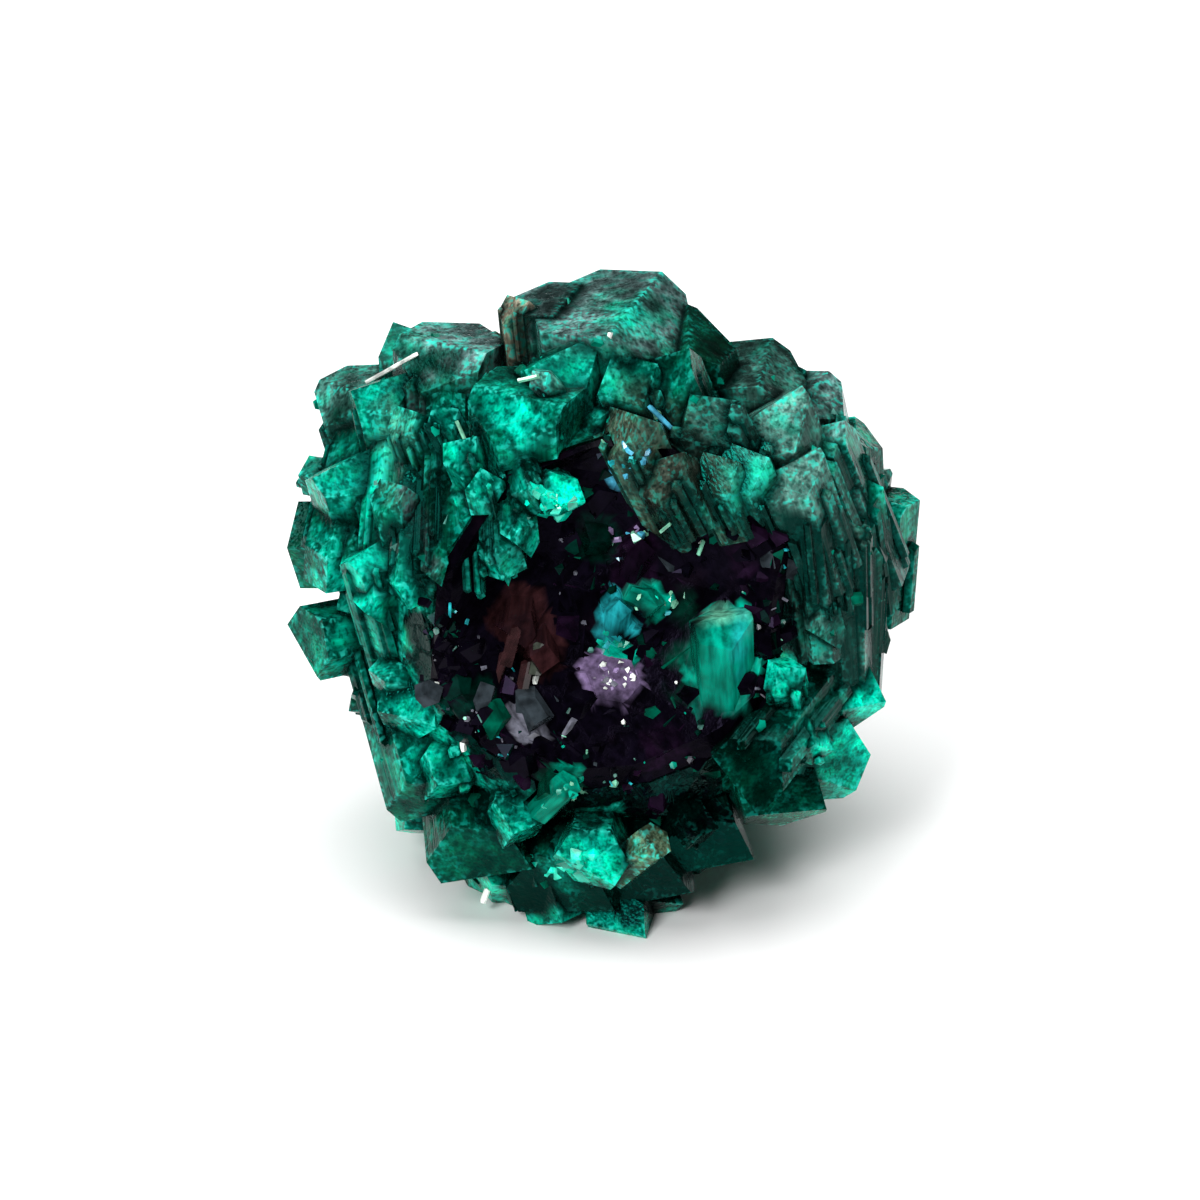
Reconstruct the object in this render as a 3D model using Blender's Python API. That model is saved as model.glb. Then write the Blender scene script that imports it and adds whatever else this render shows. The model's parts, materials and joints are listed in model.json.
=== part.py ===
"""Dioptase crystal cluster, 40 mm across, with a dark drusy hollow in its front.

Run with: blender --background --python part.py

The specimen has two pieces. The cluster is one body of intergrown emerald crystals. The druse is
the dark crust of small crystals that lines the hollow.

Crystals are laid out as they are seen from the front and 30 degrees above. A place is written in
millimetres as (right, up, near): to the right, up the picture, and towards the viewer, from the
middle of the specimen. The function seen() turns such a place into the part's own frame.
"""

import math
import random

import bmesh
import bpy
from mathutils import Matrix, Vector

MM = 0.001

# Driving dimensions, in millimetres and degrees
VIEW_ELEVATION = 30.0
BASE_HEIGHT = -16.6
HEART_RADII = (16.6, 14.6, 16.2)
HEART_ROUGHNESS = 0.045
FOOT_CENTRE = (-1.8, -2.6, -13.4)
FOOT_RADII = (9.4, 9.8, 6.2)
HOLLOW_CENTRE = (1.6, -4.4, 12.4)
HOLLOW_RADII = (14.0, 15.2, 5.4)
DRUSE_THICKNESS = 1.3
DRUSE_RIM = 0.1
GAP = 0.3
FLOOR_BLOCK = 80.0
SEED = 11

# How a crystal ends: the planes that cut its end, each as the plane's height on the axis as a
# share of the crystal's half width, its slope, and the way it faces, in degrees from the
# viewer's right. Rhombohedral faces slope 51 degrees and sit over every other prism edge.
RHOMB_SLOPE = 51.0
RHOMB = [(0.0, RHOMB_SLOPE, 30.0), (0.0, RHOMB_SLOPE, 150.0), (0.0, RHOMB_SLOPE, 270.0)]
FLAT = [(-0.04, 4.0, 50.0), (0.20, 42.0, 210.0)]
OBLIQUE = [(-0.10, 24.0, 95.0), (0.10, 40.0, 250.0)]
CHISEL = [(0.0, RHOMB_SLOPE, 30.0), (-0.15, 43.0, 200.0)]
PRISM_SIDES = 6
ROOT_TAPER = 0.94

# Each crystal is: tip (right, up, near), axis towards the tip (right, up, near), turn about
# the axis in degrees, width across corners, length, habit.
CROWN = [
    ((0.8, 18.8, 7.0), (-0.06, 0.90, 0.42), 128, 11.8, 20.0, FLAT),
    ((5.0, 16.9, 6.8), (-0.20, 0.87, 0.45), 100, 6.6, 16.0, OBLIQUE),
    ((-2.8, 15.6, 10.6), (-0.20, 0.86, 0.46), 34, 5.8, 12.0, OBLIQUE),
    ((0.8, 15.4, 11.2), (-0.34, 0.80, 0.49), 20, 5.0, 12.0, RHOMB),
    ((3.6, 15.2, 10.6), (-0.36, 0.80, 0.47), 50, 5.0, 14.0, CHISEL),
    ((1.2, 11.8, 13.2), (-0.40, 0.78, 0.48), 8, 4.6, 10.0, CHISEL),
    ((5.6, 12.8, 11.4), (-0.40, 0.79, 0.46), 28, 5.4, 13.0, RHOMB),
    ((3.6, 8.8, 13.6), (-0.42, 0.78, 0.46), 44, 4.4, 5.2, CHISEL),
    ((6.4, 9.2, 12.6), (-0.40, 0.78, 0.48), 12, 4.2, 6.0, RHOMB),
    ((-5.2, 19.0, 6.4), (-0.10, 0.90, 0.42), 12, 2.8, 8.0, CHISEL),
    ((-4.2, 14.2, 13.2), (-0.60, 0.60, 0.53), 12, 1.8, 4.0, RHOMB),
    ((-2.8, 19.0, 5.6), (-0.06, 0.90, 0.42), 128, 6.0, 14.0, FLAT),
]

RIGHT_SHOULDER = [
    ((9.4, 15.0, 5.2), (-0.12, 0.89, 0.44), 140, 8.0, 15.0, FLAT),
    ((12.6, 13.3, 4.6), (-0.20, 0.87, 0.45), 118, 5.8, 14.0, FLAT),
    ((9.8, 12.0, 9.8), (-0.34, 0.80, 0.49), 30, 6.8, 12.0, OBLIQUE),
    ((13.4, 10.9, 7.4), (-0.34, 0.81, 0.47), 46, 4.8, 12.0, CHISEL),
    ((8.0, 9.8, 12.0), (-0.36, 0.80, 0.48), 6, 4.8, 6.4, RHOMB),
    ((11.4, 8.6, 11.2), (-0.30, 0.82, 0.48), 24, 5.4, 9.0, OBLIQUE),
    ((15.6, 10.8, 3.0), (-0.06, 0.90, 0.42), 150, 4.4, 12.0, FLAT),
    ((15.4, 8.2, 6.2), (-0.14, 0.88, 0.46), 20, 4.6, 10.0, RHOMB),
    ((16.9, 8.1, 0.6), (0.10, 0.88, 0.46), 40, 3.4, 9.0, OBLIQUE),
    ((18.0, 6.6, 1.2), (0.06, 0.90, 0.42), 26, 4.6, 8.4, FLAT),
    ((13.0, 6.4, 11.0), (-0.10, 0.90, 0.42), 24, 2.8, 11.0, RHOMB),
    ((14.4, 5.8, 9.8), (-0.06, 0.91, 0.41), 6, 2.6, 12.0, CHISEL),
    ((15.6, 4.9, 8.4), (-0.02, 0.92, 0.39), 38, 2.8, 11.0, RHOMB),
    ((16.5, 3.6, 6.8), (0.02, 0.92, 0.39), 14, 2.6, 10.0, CHISEL),
    ((17.0, 2.2, 5.0), (0.04, 0.92, 0.39), 50, 2.6, 9.0, RHOMB),
    ((17.4, -3.2, 3.4), (0.22, -0.86, 0.46), 12, 2.4, 8.5, CHISEL),
    ((16.0, -2.6, 6.4), (0.20, -0.86, 0.47), 32, 2.6, 8.0, RHOMB),
    ((14.2, -2.8, 8.8), (0.10, -0.88, 0.46), 12, 2.8, 8.0, CHISEL),
]

RIGHT_FOOT = [
    ((15.6, -6.4, 6.2), (0.56, -0.20, 0.80), 15, 6.0, 8.0, OBLIQUE),
    ((14.4, -10.6, 5.6), (0.56, -0.36, 0.75), 30, 6.8, 9.0, FLAT),
    ((11.6, -13.0, 6.6), (0.30, -0.54, 0.79), 10, 6.0, 9.0, OBLIQUE),
    ((8.2, -11.8, 10.6), (-0.50, -0.62, 0.60), 24, 5.6, 11.0, CHISEL),
    ((11.2, -4.2, 11.2), (-0.10, 0.40, 0.91), 42, 3.2, 6.0, RHOMB),
    ((13.4, -9.0, 9.6), (0.20, -0.10, 0.97), 8, 3.2, 5.0, RHOMB),
]

LEFT_CREST = [
    ((-9.4, 16.5, 4.8), (0.02, 0.90, 0.43), 30, 7.4, 12.0, FLAT),
    ((-10.8, 16.6, 0.8), (-0.04, 0.90, 0.43), 160, 6.8, 12.0, OBLIQUE),
    ((-13.8, 14.0, 4.8), (-0.20, 0.87, 0.45), 14, 4.8, 12.0, OBLIQUE),
    ((-15.8, 13.9, -0.2), (-0.26, 0.85, 0.46), 8, 5.8, 12.0, FLAT),
    ((-6.6, 17.0, 1.8), (0.10, 0.89, 0.45), 36, 3.0, 8.0, RHOMB),
    ((-6.6, 14.4, 8.6), (-0.04, 0.88, 0.47), 28, 3.0, 8.0, RHOMB),
    ((-4.6, 13.2, 12.0), (-0.04, 0.84, 0.54), 30, 7.6, 8.0, FLAT),
    ((-2.2, 6.2, 13.8), (0.50, -0.30, 0.81), 10, 3.2, 5.0, OBLIQUE),
]

LEFT_SHEAF = [
    ((-12.2, 12.0, 8.4), (-0.30, 0.84, 0.45), 8, 3.4, 12.0, CHISEL),
    ((-10.4, 12.2, 10.0), (-0.40, 0.80, 0.45), 22, 2.8, 11.0, RHOMB),
    ((-8.8, 10.0, 11.8), (-0.36, 0.82, 0.45), 40, 3.0, 10.0, CHISEL),
    ((-7.4, 8.2, 12.8), (-0.20, 0.86, 0.46), 6, 3.0, 9.0, RHOMB),
    ((-16.4, 8.8, 4.4), (-0.24, 0.86, 0.45), 30, 5.0, 12.0, OBLIQUE),
    ((-13.0, 7.4, 9.4), (-0.16, 0.88, 0.44), 12, 3.4, 11.0, CHISEL),
    ((-14.6, 3.4, 8.4), (-0.24, 0.86, 0.45), 44, 4.0, 9.0, OBLIQUE),
    ((-6.0, 1.2, 12.8), (0.04, -0.90, 0.43), 16, 3.2, 12.0, RHOMB),
    ((-4.9, 3.0, 13.2), (0.08, -0.90, 0.42), 2, 2.8, 9.0, CHISEL),
    ((-8.0, -1.2, 11.8), (0.06, -0.92, 0.39), 26, 2.8, 13.0, RHOMB),
    ((-9.8, 0.6, 11.6), (-0.02, -0.92, 0.39), 8, 3.0, 13.0, CHISEL),
    ((-11.8, -0.6, 10.4), (-0.04, -0.92, 0.39), 34, 3.2, 12.0, RHOMB),
    ((-13.8, -1.6, 8.4), (-0.06, -0.92, 0.39), 14, 3.6, 12.0, CHISEL),
    ((-17.2, 0.4, 5.0), (-0.20, -0.86, 0.47), 4, 4.4, 12.0, RHOMB),
    ((-3.6, 5.4, 13.8), (0.30, -0.70, 0.65), 20, 3.0, 7.0, RHOMB),
    ((-19.1, 7.9, 0.8), (-0.88, 0.10, 0.46), 10, 3.0, 6.0, RHOMB),
    ((-19.8, 3.3, 1.0), (-0.82, -0.06, 0.57), 32, 6.6, 10.0, RHOMB),
]

LEFT_FOOT = [
    ((-18.6, -2.8, 3.2), (-0.80, -0.16, 0.58), 20, 5.0, 8.0, FLAT),
    ((-10.2, -13.4, 4.6), (0.27, -0.92, 0.28), 30, 6.2, 13.0, OBLIQUE),
    ((-12.2, -7.0, 7.6), (-0.30, -0.24, 0.92), 6, 4.6, 7.0, OBLIQUE),
    ((-10.2, -11.6, 8.2), (-0.20, -0.40, 0.89), 28, 4.0, 6.0, RHOMB),
    ((-7.4, -17.2, 5.2), (0.10, -0.82, 0.56), 30, 7.0, 10.0, OBLIQUE),
    ((-5.4, -14.6, 8.8), (-0.06, -0.50, 0.86), 38, 4.2, 6.0, RHOMB),
]

FRONT_FOOT = [
    ((-2.4, -19.4, 4.2), (-0.04, -0.84, 0.54), 28, 7.4, 10.0, OBLIQUE),
    ((2.6, -18.8, 4.4), (0.10, -0.82, 0.56), 34, 7.0, 10.0, OBLIQUE),
    ((6.8, -16.6, 4.8), (0.24, -0.74, 0.63), 20, 6.4, 9.0, OBLIQUE),
    ((-0.6, -16.4, 8.2), (-0.10, -0.40, 0.91), 30, 5.0, 6.0, FLAT),
    ((3.4, -15.0, 9.2), (0.46, 0.40, 0.79), 10, 2.6, 5.0, FLAT),
    ((6.2, -14.8, 8.0), (0.20, -0.40, 0.89), 33, 3.0, 5.0, RHOMB),
]

# In the hollow the near figure is how far the tip stands out from the floor of the hollow
IN_THE_HOLLOW = [
    ((7.5, -0.9, 4.0), (-0.04, 0.80, 0.60), 18, 4.2, 6.4, OBLIQUE),
    ((1.2, 0.0, 3.0), (0.10, 0.70, 0.71), 10, 1.8, 4.4, RHOMB),
    ((3.6, -0.4, 3.2), (0.55, -0.20, 0.81), 26, 2.0, 4.4, RHOMB),
    ((0.6, -3.4, 2.8), (-0.20, 0.40, 0.89), 4, 2.2, 3.8, RHOMB),
    ((1.0, -5.0, 3.4), (0.20, -0.10, 0.97), 20, 3.2, 4.4, FLAT),
    ((2.6, 3.8, 3.2), (0.20, 0.60, 0.77), 12, 2.2, 4.4, RHOMB),
    ((-0.6, 3.6, 3.0), (-0.30, -0.20, 0.93), 30, 2.4, 4.0, RHOMB),
    ((1.8, 7.6, 2.6), (0.20, -0.50, 0.84), 8, 2.0, 3.6, RHOMB),
    ((-5.4, -2.6, 2.8), (-0.10, -0.80, 0.59), 16, 2.8, 5.4, CHISEL),
    ((-3.6, -4.6, 2.6), (0.10, -0.84, 0.53), 36, 2.4, 5.0, RHOMB),
    ((-8.4, -6.4, 1.8), (-0.20, -0.30, 0.93), 22, 2.8, 3.0, RHOMB),
    ((-2.0, -11.4, 2.4), (0.48, 0.50, 0.72), 18, 2.0, 3.6, FLAT),
    ((-3.4, -12.0, 2.0), (-0.40, -0.20, 0.89), 5, 2.4, 3.2, RHOMB),
    ((4.0, -9.4, 2.4), (0.16, -0.30, 0.94), 27, 2.6, 3.6, RHOMB),
    ((-4.4, -8.4, 2.2), (0.30, -0.60, 0.74), 11, 2.4, 3.6, RHOMB),
    ((6.2, 4.6, 2.2), (0.20, -0.70, 0.68), 2, 2.6, 3.8, CHISEL),
    ((9.0, 2.0, 1.8), (0.10, -0.60, 0.79), 24, 2.8, 3.4, RHOMB),
]

# The sides and the back, which the front view doesn't show, are covered by seeded rules
LEAN = 0.5
FRONT_EDGE = -0.05
BASE_EDGE = -0.84
COVER_COUNT = 150
COVER_WIDTHS = (3.4, 7.0)
COVER_STAND = (0.3, 2.0)
COVER_LENGTH = 9.0
FILL_COUNT = 130
FILL_WIDTHS = (1.6, 3.2)
FILL_STAND = (0.2, 1.0)
FILL_LENGTH = 5.0
RING_COUNT = 19
RING_WIDTHS = (4.2, 6.6)
RING_REACH = (9.4, 11.4)
RING_HEIGHTS = (-2.8, 3.4)
RING_LENGTH = 8.0
GOLDEN_TURN = math.pi * (3.0 - math.sqrt(5.0))


def clear_scene():
    for obj in list(bpy.data.objects):
        bpy.data.objects.remove(obj, do_unlink=True)


def view_axes():
    tilt = math.radians(VIEW_ELEVATION)
    right = Vector((1.0, 0.0, 0.0))
    up = Vector((0.0, math.sin(tilt), math.cos(tilt)))
    near = Vector((0.0, -math.cos(tilt), math.sin(tilt)))
    return right, up, near


def seen(place):
    """A place or direction given as (right, up, near) in the part's own axes."""
    right, up, near = view_axes()
    return right * place[0] + up * place[1] + near * place[2]


def new_collection(name, hidden=False):
    collection = bpy.data.collections.new(name)
    bpy.context.scene.collection.children.link(collection)
    collection.hide_render = hidden
    return collection


def add_object(name, mesh, collection):
    obj = bpy.data.objects.new(name, mesh)
    collection.objects.link(obj)
    return obj


def mesh_from(bm, name):
    mesh = bpy.data.meshes.new(name)
    bmesh.ops.recalc_face_normals(bm, faces=bm.faces)
    bm.to_mesh(mesh)
    bm.free()
    return mesh


def cut(bm, point, normal):
    """Slices off what lies beyond a plane and closes the cut with one flat face."""
    every = bm.verts[:] + bm.edges[:] + bm.faces[:]
    found = bmesh.ops.bisect_plane(
        bm, geom=every, plane_co=point, plane_no=normal, clear_outer=True
    )
    rim = [e for e in found["geom_cut"] if isinstance(e, bmesh.types.BMEdge)]
    if rim:
        bmesh.ops.contextual_create(bm, geom=rim)


def crystal_mesh(width, length, habit):
    """A six-sided prism along +Z that ends at the origin in the faces of its habit."""
    bm = bmesh.new()
    radius = width / 2
    bmesh.ops.create_cone(
        bm,
        cap_ends=True,
        segments=PRISM_SIDES,
        radius1=radius * ROOT_TAPER,
        radius2=radius,
        depth=length + width,
    )
    bmesh.ops.translate(bm, verts=bm.verts, vec=(0.0, 0.0, (width - length) / 2))
    for height, slope, azimuth in habit:
        tilt, turn = math.radians(slope), math.radians(azimuth)
        normal = Vector(
            (math.sin(tilt) * math.cos(turn), math.sin(tilt) * math.sin(turn), math.cos(tilt))
        )
        cut(bm, Vector((0.0, 0.0, height * radius)), normal)
    return mesh_from(bm, "crystal")


def facing(axis):
    """The turn that takes +Z to the axis and keeps +X to the viewer's right."""
    right, up, near = view_axes()
    side = up if abs(axis.dot(right)) > 0.9 else right
    across = (side - axis * side.dot(axis)).normalized()
    return Matrix((across, axis.cross(across), axis)).transposed().to_4x4()


def place_crystal(name, tip, axis, turn, width, length, habit, collection):
    """One crystal with its tip and axis given in the part's axes, in millimetres."""
    obj = add_object(name, crystal_mesh(width, length, habit), collection)
    spin = Matrix.Rotation(math.radians(turn), 4, "Z")
    obj.data.transform(Matrix.Translation(tip) @ facing(axis.normalized()) @ spin)
    return obj


def place_listed(name, crystals, collection, extra=0.0):
    """Places a list of crystals, each with all its faces moved out by extra."""
    for number, (tip, axis, turn, width, length, habit) in enumerate(crystals, 1):
        along = seen(axis).normalized()
        end = seen(tip) + along * extra / math.cos(math.radians(RHOMB_SLOPE))
        wide = width + 2 * extra / math.cos(math.radians(30.0))
        place_crystal(
            f"{name}_{number:02d}", end, along, turn, wide, length + 2 * extra, habit, collection
        )


def lump_mesh(name, radii):
    """A faceted lump: a coarse sphere with each corner moved a little in or out."""
    chance = random.Random(SEED)
    bm = bmesh.new()
    bmesh.ops.create_icosphere(bm, subdivisions=2, radius=1.0)
    for vert in bm.verts:
        vert.co *= 1.0 + chance.uniform(-HEART_ROUGHNESS, HEART_ROUGHNESS)
        vert.co = Vector(c * r for c, r in zip(vert.co, radii))
    return mesh_from(bm, name)


def hollow_mesh(shrink, forward, name):
    """The lump that the hollow is cut with, laid out in view axes."""
    mesh = lump_mesh(name, [r - shrink for r in HOLLOW_RADII])
    right, up, near = view_axes()
    turned = Matrix((right, up, near)).transposed().to_4x4()
    centre = seen((HOLLOW_CENTRE[0], HOLLOW_CENTRE[1], HOLLOW_CENTRE[2] + forward))
    mesh.transform(Matrix.Translation(centre) @ turned)
    return mesh


def spread_points(count):
    """Points spread evenly over a unit sphere."""
    for k in range(count):
        z = 1.0 - 2.0 * (k + 0.5) / count
        ring = math.sqrt(1.0 - z * z)
        yield Vector((ring * math.cos(k * GOLDEN_TURN), ring * math.sin(k * GOLDEN_TURN), z))


def any_lean(chance):
    return Vector(chance.uniform(-LEAN, LEAN) for _ in range(3))


def on_heart(direction):
    return Vector(d * r for d, r in zip(direction, HEART_RADII))


def cover_crystals(collection):
    """Blocky crystals all over the sides and the back, at every slant."""
    chance = random.Random(SEED + 1)
    near = view_axes()[2]
    for k, point in enumerate(spread_points(COVER_COUNT)):
        width = chance.uniform(*COVER_WIDTHS)
        stand = chance.uniform(*COVER_STAND)
        axis = (point + any_lean(chance)).normalized()
        habit = chance.choice([RHOMB, RHOMB, OBLIQUE, FLAT, CHISEL])
        turn = chance.uniform(0, 60)
        if point.dot(near) > FRONT_EDGE or point.z < BASE_EDGE:
            continue
        tip = on_heart(point) + axis * stand
        place_crystal(f"cover_{k:03d}", tip, axis, turn, width, COVER_LENGTH, habit, collection)


def hollow_floor(across, along):
    """How near the viewer the floor of the hollow lies at a place (right, up) in the view."""
    side = (across - HOLLOW_CENTRE[0]) / HOLLOW_RADII[0]
    rise = (along - HOLLOW_CENTRE[1]) / HOLLOW_RADII[1]
    bulge = math.sqrt(max(0.0, 1.0 - side * side - rise * rise))
    return HOLLOW_CENTRE[2] - HOLLOW_RADII[2] * bulge


def on_the_floor(crystals):
    """The hollow's crystals, with their tips placed from the middle of the specimen."""
    placed = []
    for (across, along, stand), *rest in crystals:
        near = hollow_floor(across, along) + stand
        placed.append(((across, along, near), *rest))
    return placed


def in_hollow(place):
    """True where a place in the part's axes lies in the mouth of the hollow."""
    right, up, near = view_axes()
    across = (place.dot(right) - HOLLOW_CENTRE[0]) / HOLLOW_RADII[0]
    along = (place.dot(up) - HOLLOW_CENTRE[1]) / HOLLOW_RADII[1]
    return place.dot(near) > 0 and across * across + along * along < 1.0


def fill_crystals(collection):
    """Small crystals that fill the ground between the large ones in front."""
    chance = random.Random(SEED + 2)
    near = view_axes()[2]
    for k, point in enumerate(spread_points(FILL_COUNT)):
        width = chance.uniform(*FILL_WIDTHS)
        stand = chance.uniform(*FILL_STAND)
        axis = (point + any_lean(chance)).normalized()
        turn = chance.uniform(0, 60)
        ground = on_heart(point)
        if point.dot(near) <= FRONT_EDGE or in_hollow(ground) or point.z < BASE_EDGE:
            continue
        tip = ground + axis * stand
        place_crystal(f"fill_{k:03d}", tip, axis, turn, width, FILL_LENGTH, RHOMB, collection)


def ring_crystals(collection):
    """Stout crystals round the foot, which the resting plane then cuts flat."""
    chance = random.Random(SEED + 3)
    centre = Vector(FOOT_CENTRE)
    for k in range(RING_COUNT):
        around = math.tau * (k + chance.uniform(-0.3, 0.3)) / RING_COUNT
        out = Vector((math.cos(around), math.sin(around), 0.0))
        width = chance.uniform(*RING_WIDTHS)
        reach = chance.uniform(*RING_REACH)
        height = chance.uniform(*RING_HEIGHTS)
        axis = out + any_lean(chance)
        habit = chance.choice([RHOMB, OBLIQUE, CHISEL])
        tip = centre + out * reach + Vector((0.0, 0.0, height))
        turn = chance.uniform(0, 60)
        place_crystal(f"ring_{k:02d}", tip, axis, turn, width, RING_LENGTH, habit, collection)


def combine(obj, operation, other):
    """Adds a Boolean with another object or with all of a collection.

    The manifold solver is used because the exact one leaves open edges where this many
    crystals cross each other.
    """
    modifier = obj.modifiers.new(operation.lower(), "BOOLEAN")
    modifier.operation = operation
    modifier.solver = "MANIFOLD"
    if isinstance(other, bpy.types.Collection):
        modifier.operand_type = "COLLECTION"
        modifier.collection = other
    else:
        modifier.object = other


def bake_shape(obj):
    """Replaces an object's mesh by what its modifiers make, less any loose crumbs."""
    graph = bpy.context.evaluated_depsgraph_get()
    made = bpy.data.meshes.new_from_object(obj.evaluated_get(graph))
    obj.modifiers.clear()
    bm = bmesh.new()
    bm.from_mesh(made)
    drop_crumbs(bm)
    bm.to_mesh(made)
    bm.free()
    obj.data = made


def drop_crumbs(bm):
    """Keeps only the largest body of a mesh."""
    unseen, bodies = set(bm.verts), []
    while unseen:
        start = unseen.pop()
        body, waiting = {start}, [start]
        while waiting:
            vert = waiting.pop()
            found = {edge.other_vert(vert) for edge in vert.link_edges} - body
            body |= found
            waiting.extend(found)
        unseen -= body
        bodies.append(body)
    bodies.sort(key=len)
    crumbs = [vert for body in bodies[:-1] for vert in body]
    bmesh.ops.delete(bm, geom=crumbs, context="VERTS")


def floor_cutter(collection):
    """A block under the resting plane, which leaves the specimen a flat broken base."""
    bm = bmesh.new()
    bmesh.ops.create_cube(bm, size=FLOOR_BLOCK)
    bmesh.ops.translate(bm, verts=bm.verts, vec=(0.0, 0.0, BASE_HEIGHT - FLOOR_BLOCK / 2))
    return add_object("floor_cutter", mesh_from(bm, "floor_cutter"), collection)


def crystal_material(name, colour, roughness):
    material = bpy.data.materials.new(name)
    material.use_nodes = True
    shader = material.node_tree.nodes["Principled BSDF"]
    shader.inputs["Base Color"].default_value = colour
    shader.inputs["Roughness"].default_value = roughness
    shader.inputs["Metallic"].default_value = 0.0
    return material


def build_druse(name, parts, cutters, extra=0.0):
    """The crust in the hollow: a thin crescent of rock with the hollow's crystals on it.

    With extra, it is larger by that much all round, which makes the clearance that is cut from
    the cluster.
    """
    druse = add_object(name, hollow_mesh(GAP - extra, 0.0, name), parts)
    inner = hollow_mesh(GAP + extra, DRUSE_THICKNESS, f"{name}_front")
    combine(druse, "DIFFERENCE", add_object(f"{name}_front", inner, cutters))
    rim = lump_mesh(f"{name}_rim", [r + DRUSE_RIM + extra for r in HEART_RADII])
    combine(druse, "INTERSECT", add_object(f"{name}_rim", rim, cutters))
    bake_shape(druse)
    helpers = new_collection(f"{name} crystals", hidden=True)
    place_listed("hollow_crystal", on_the_floor(IN_THE_HOLLOW), helpers, extra)
    combine(druse, "UNION", helpers)
    bake_shape(druse)
    remove_collection(helpers)
    return druse


def build_cluster(parts, cutters):
    """The intergrown crystals, with the hollow cut before the rim crystals close round it."""
    cluster = add_object("dioptase_cluster", lump_mesh("heart", HEART_RADII), parts)
    foot = add_object("foot", lump_mesh("foot", FOOT_RADII), cutters)
    foot.data.transform(Matrix.Translation(FOOT_CENTRE))
    combine(cluster, "UNION", foot)
    hollow = add_object("hollow_cutter", hollow_mesh(0.0, 0.0, "hollow"), cutters)
    combine(cluster, "DIFFERENCE", hollow)
    bake_shape(cluster)
    crystals = new_collection("crystals", hidden=True)
    place_listed("crown", CROWN, crystals)
    place_listed("right_shoulder", RIGHT_SHOULDER, crystals)
    place_listed("right_foot", RIGHT_FOOT, crystals)
    place_listed("left_crest", LEFT_CREST, crystals)
    place_listed("left_sheaf", LEFT_SHEAF, crystals)
    place_listed("left_foot", LEFT_FOOT, crystals)
    place_listed("front_foot", FRONT_FOOT, crystals)
    cover_crystals(crystals)
    fill_crystals(crystals)
    ring_crystals(crystals)
    combine(cluster, "UNION", crystals)
    bake_shape(cluster)
    remove_collection(crystals)
    combine(cluster, "DIFFERENCE", build_druse("druse_clearance", cutters, cutters, GAP))
    combine(cluster, "DIFFERENCE", floor_cutter(cutters))
    bake_shape(cluster)
    return cluster


def remove_collection(collection):
    for obj in list(collection.objects):
        bpy.data.objects.remove(obj, do_unlink=True)
    bpy.data.collections.remove(collection)


def stand_on_origin(objects):
    """Scales millimetres to metres and puts the bottom centre of the whole at the origin."""
    corners = [vert.co for obj in objects for vert in obj.data.vertices]
    low = Vector(min(c[i] for c in corners) for i in range(3))
    high = Vector(max(c[i] for c in corners) for i in range(3))
    foot = Vector(((low.x + high.x) / 2, (low.y + high.y) / 2, low.z))
    for obj in objects:
        obj.data.transform(Matrix.Scale(MM, 4) @ Matrix.Translation(-foot))
    print("view centre is at", tuple(round(-c, 3) for c in foot), "mm in the part's frame")


def main():
    clear_scene()
    parts = new_collection("dioptase crystal")
    cutters = new_collection("cutters", hidden=True)
    druse = build_druse("dark_druse", parts, cutters)
    cluster = build_cluster(parts, cutters)
    remove_collection(cutters)
    stand_on_origin([cluster, druse])
    cluster.data.materials.append(crystal_material("emerald dioptase", (0.0, 0.24, 0.16, 1.0), 0.2))
    druse.data.materials.append(crystal_material("dark druse", (0.012, 0.008, 0.02, 1.0), 0.25))


main()
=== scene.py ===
# %% [markdown]
# # A dioptase crystal cluster
# Dioptase is an emerald-green copper silicate. It grows as six-sided prisms that end in three
# slanting rhombohedral faces. This specimen is a fist of such prisms, grown through each other,
# round a recess that is lined with a nearly black crust of tiny crystals, a druse.
#
# The solid model already has every large crystal. This lesson gives them the thin prisms that
# grow along them, their colour zones and their glassy finish, and it adds the small crystals
# that are too many and too fine for the solid model.

import json
import math
import random

import bpy
import numpy as np
from mathutils import Matrix, Vector, noise

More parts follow.
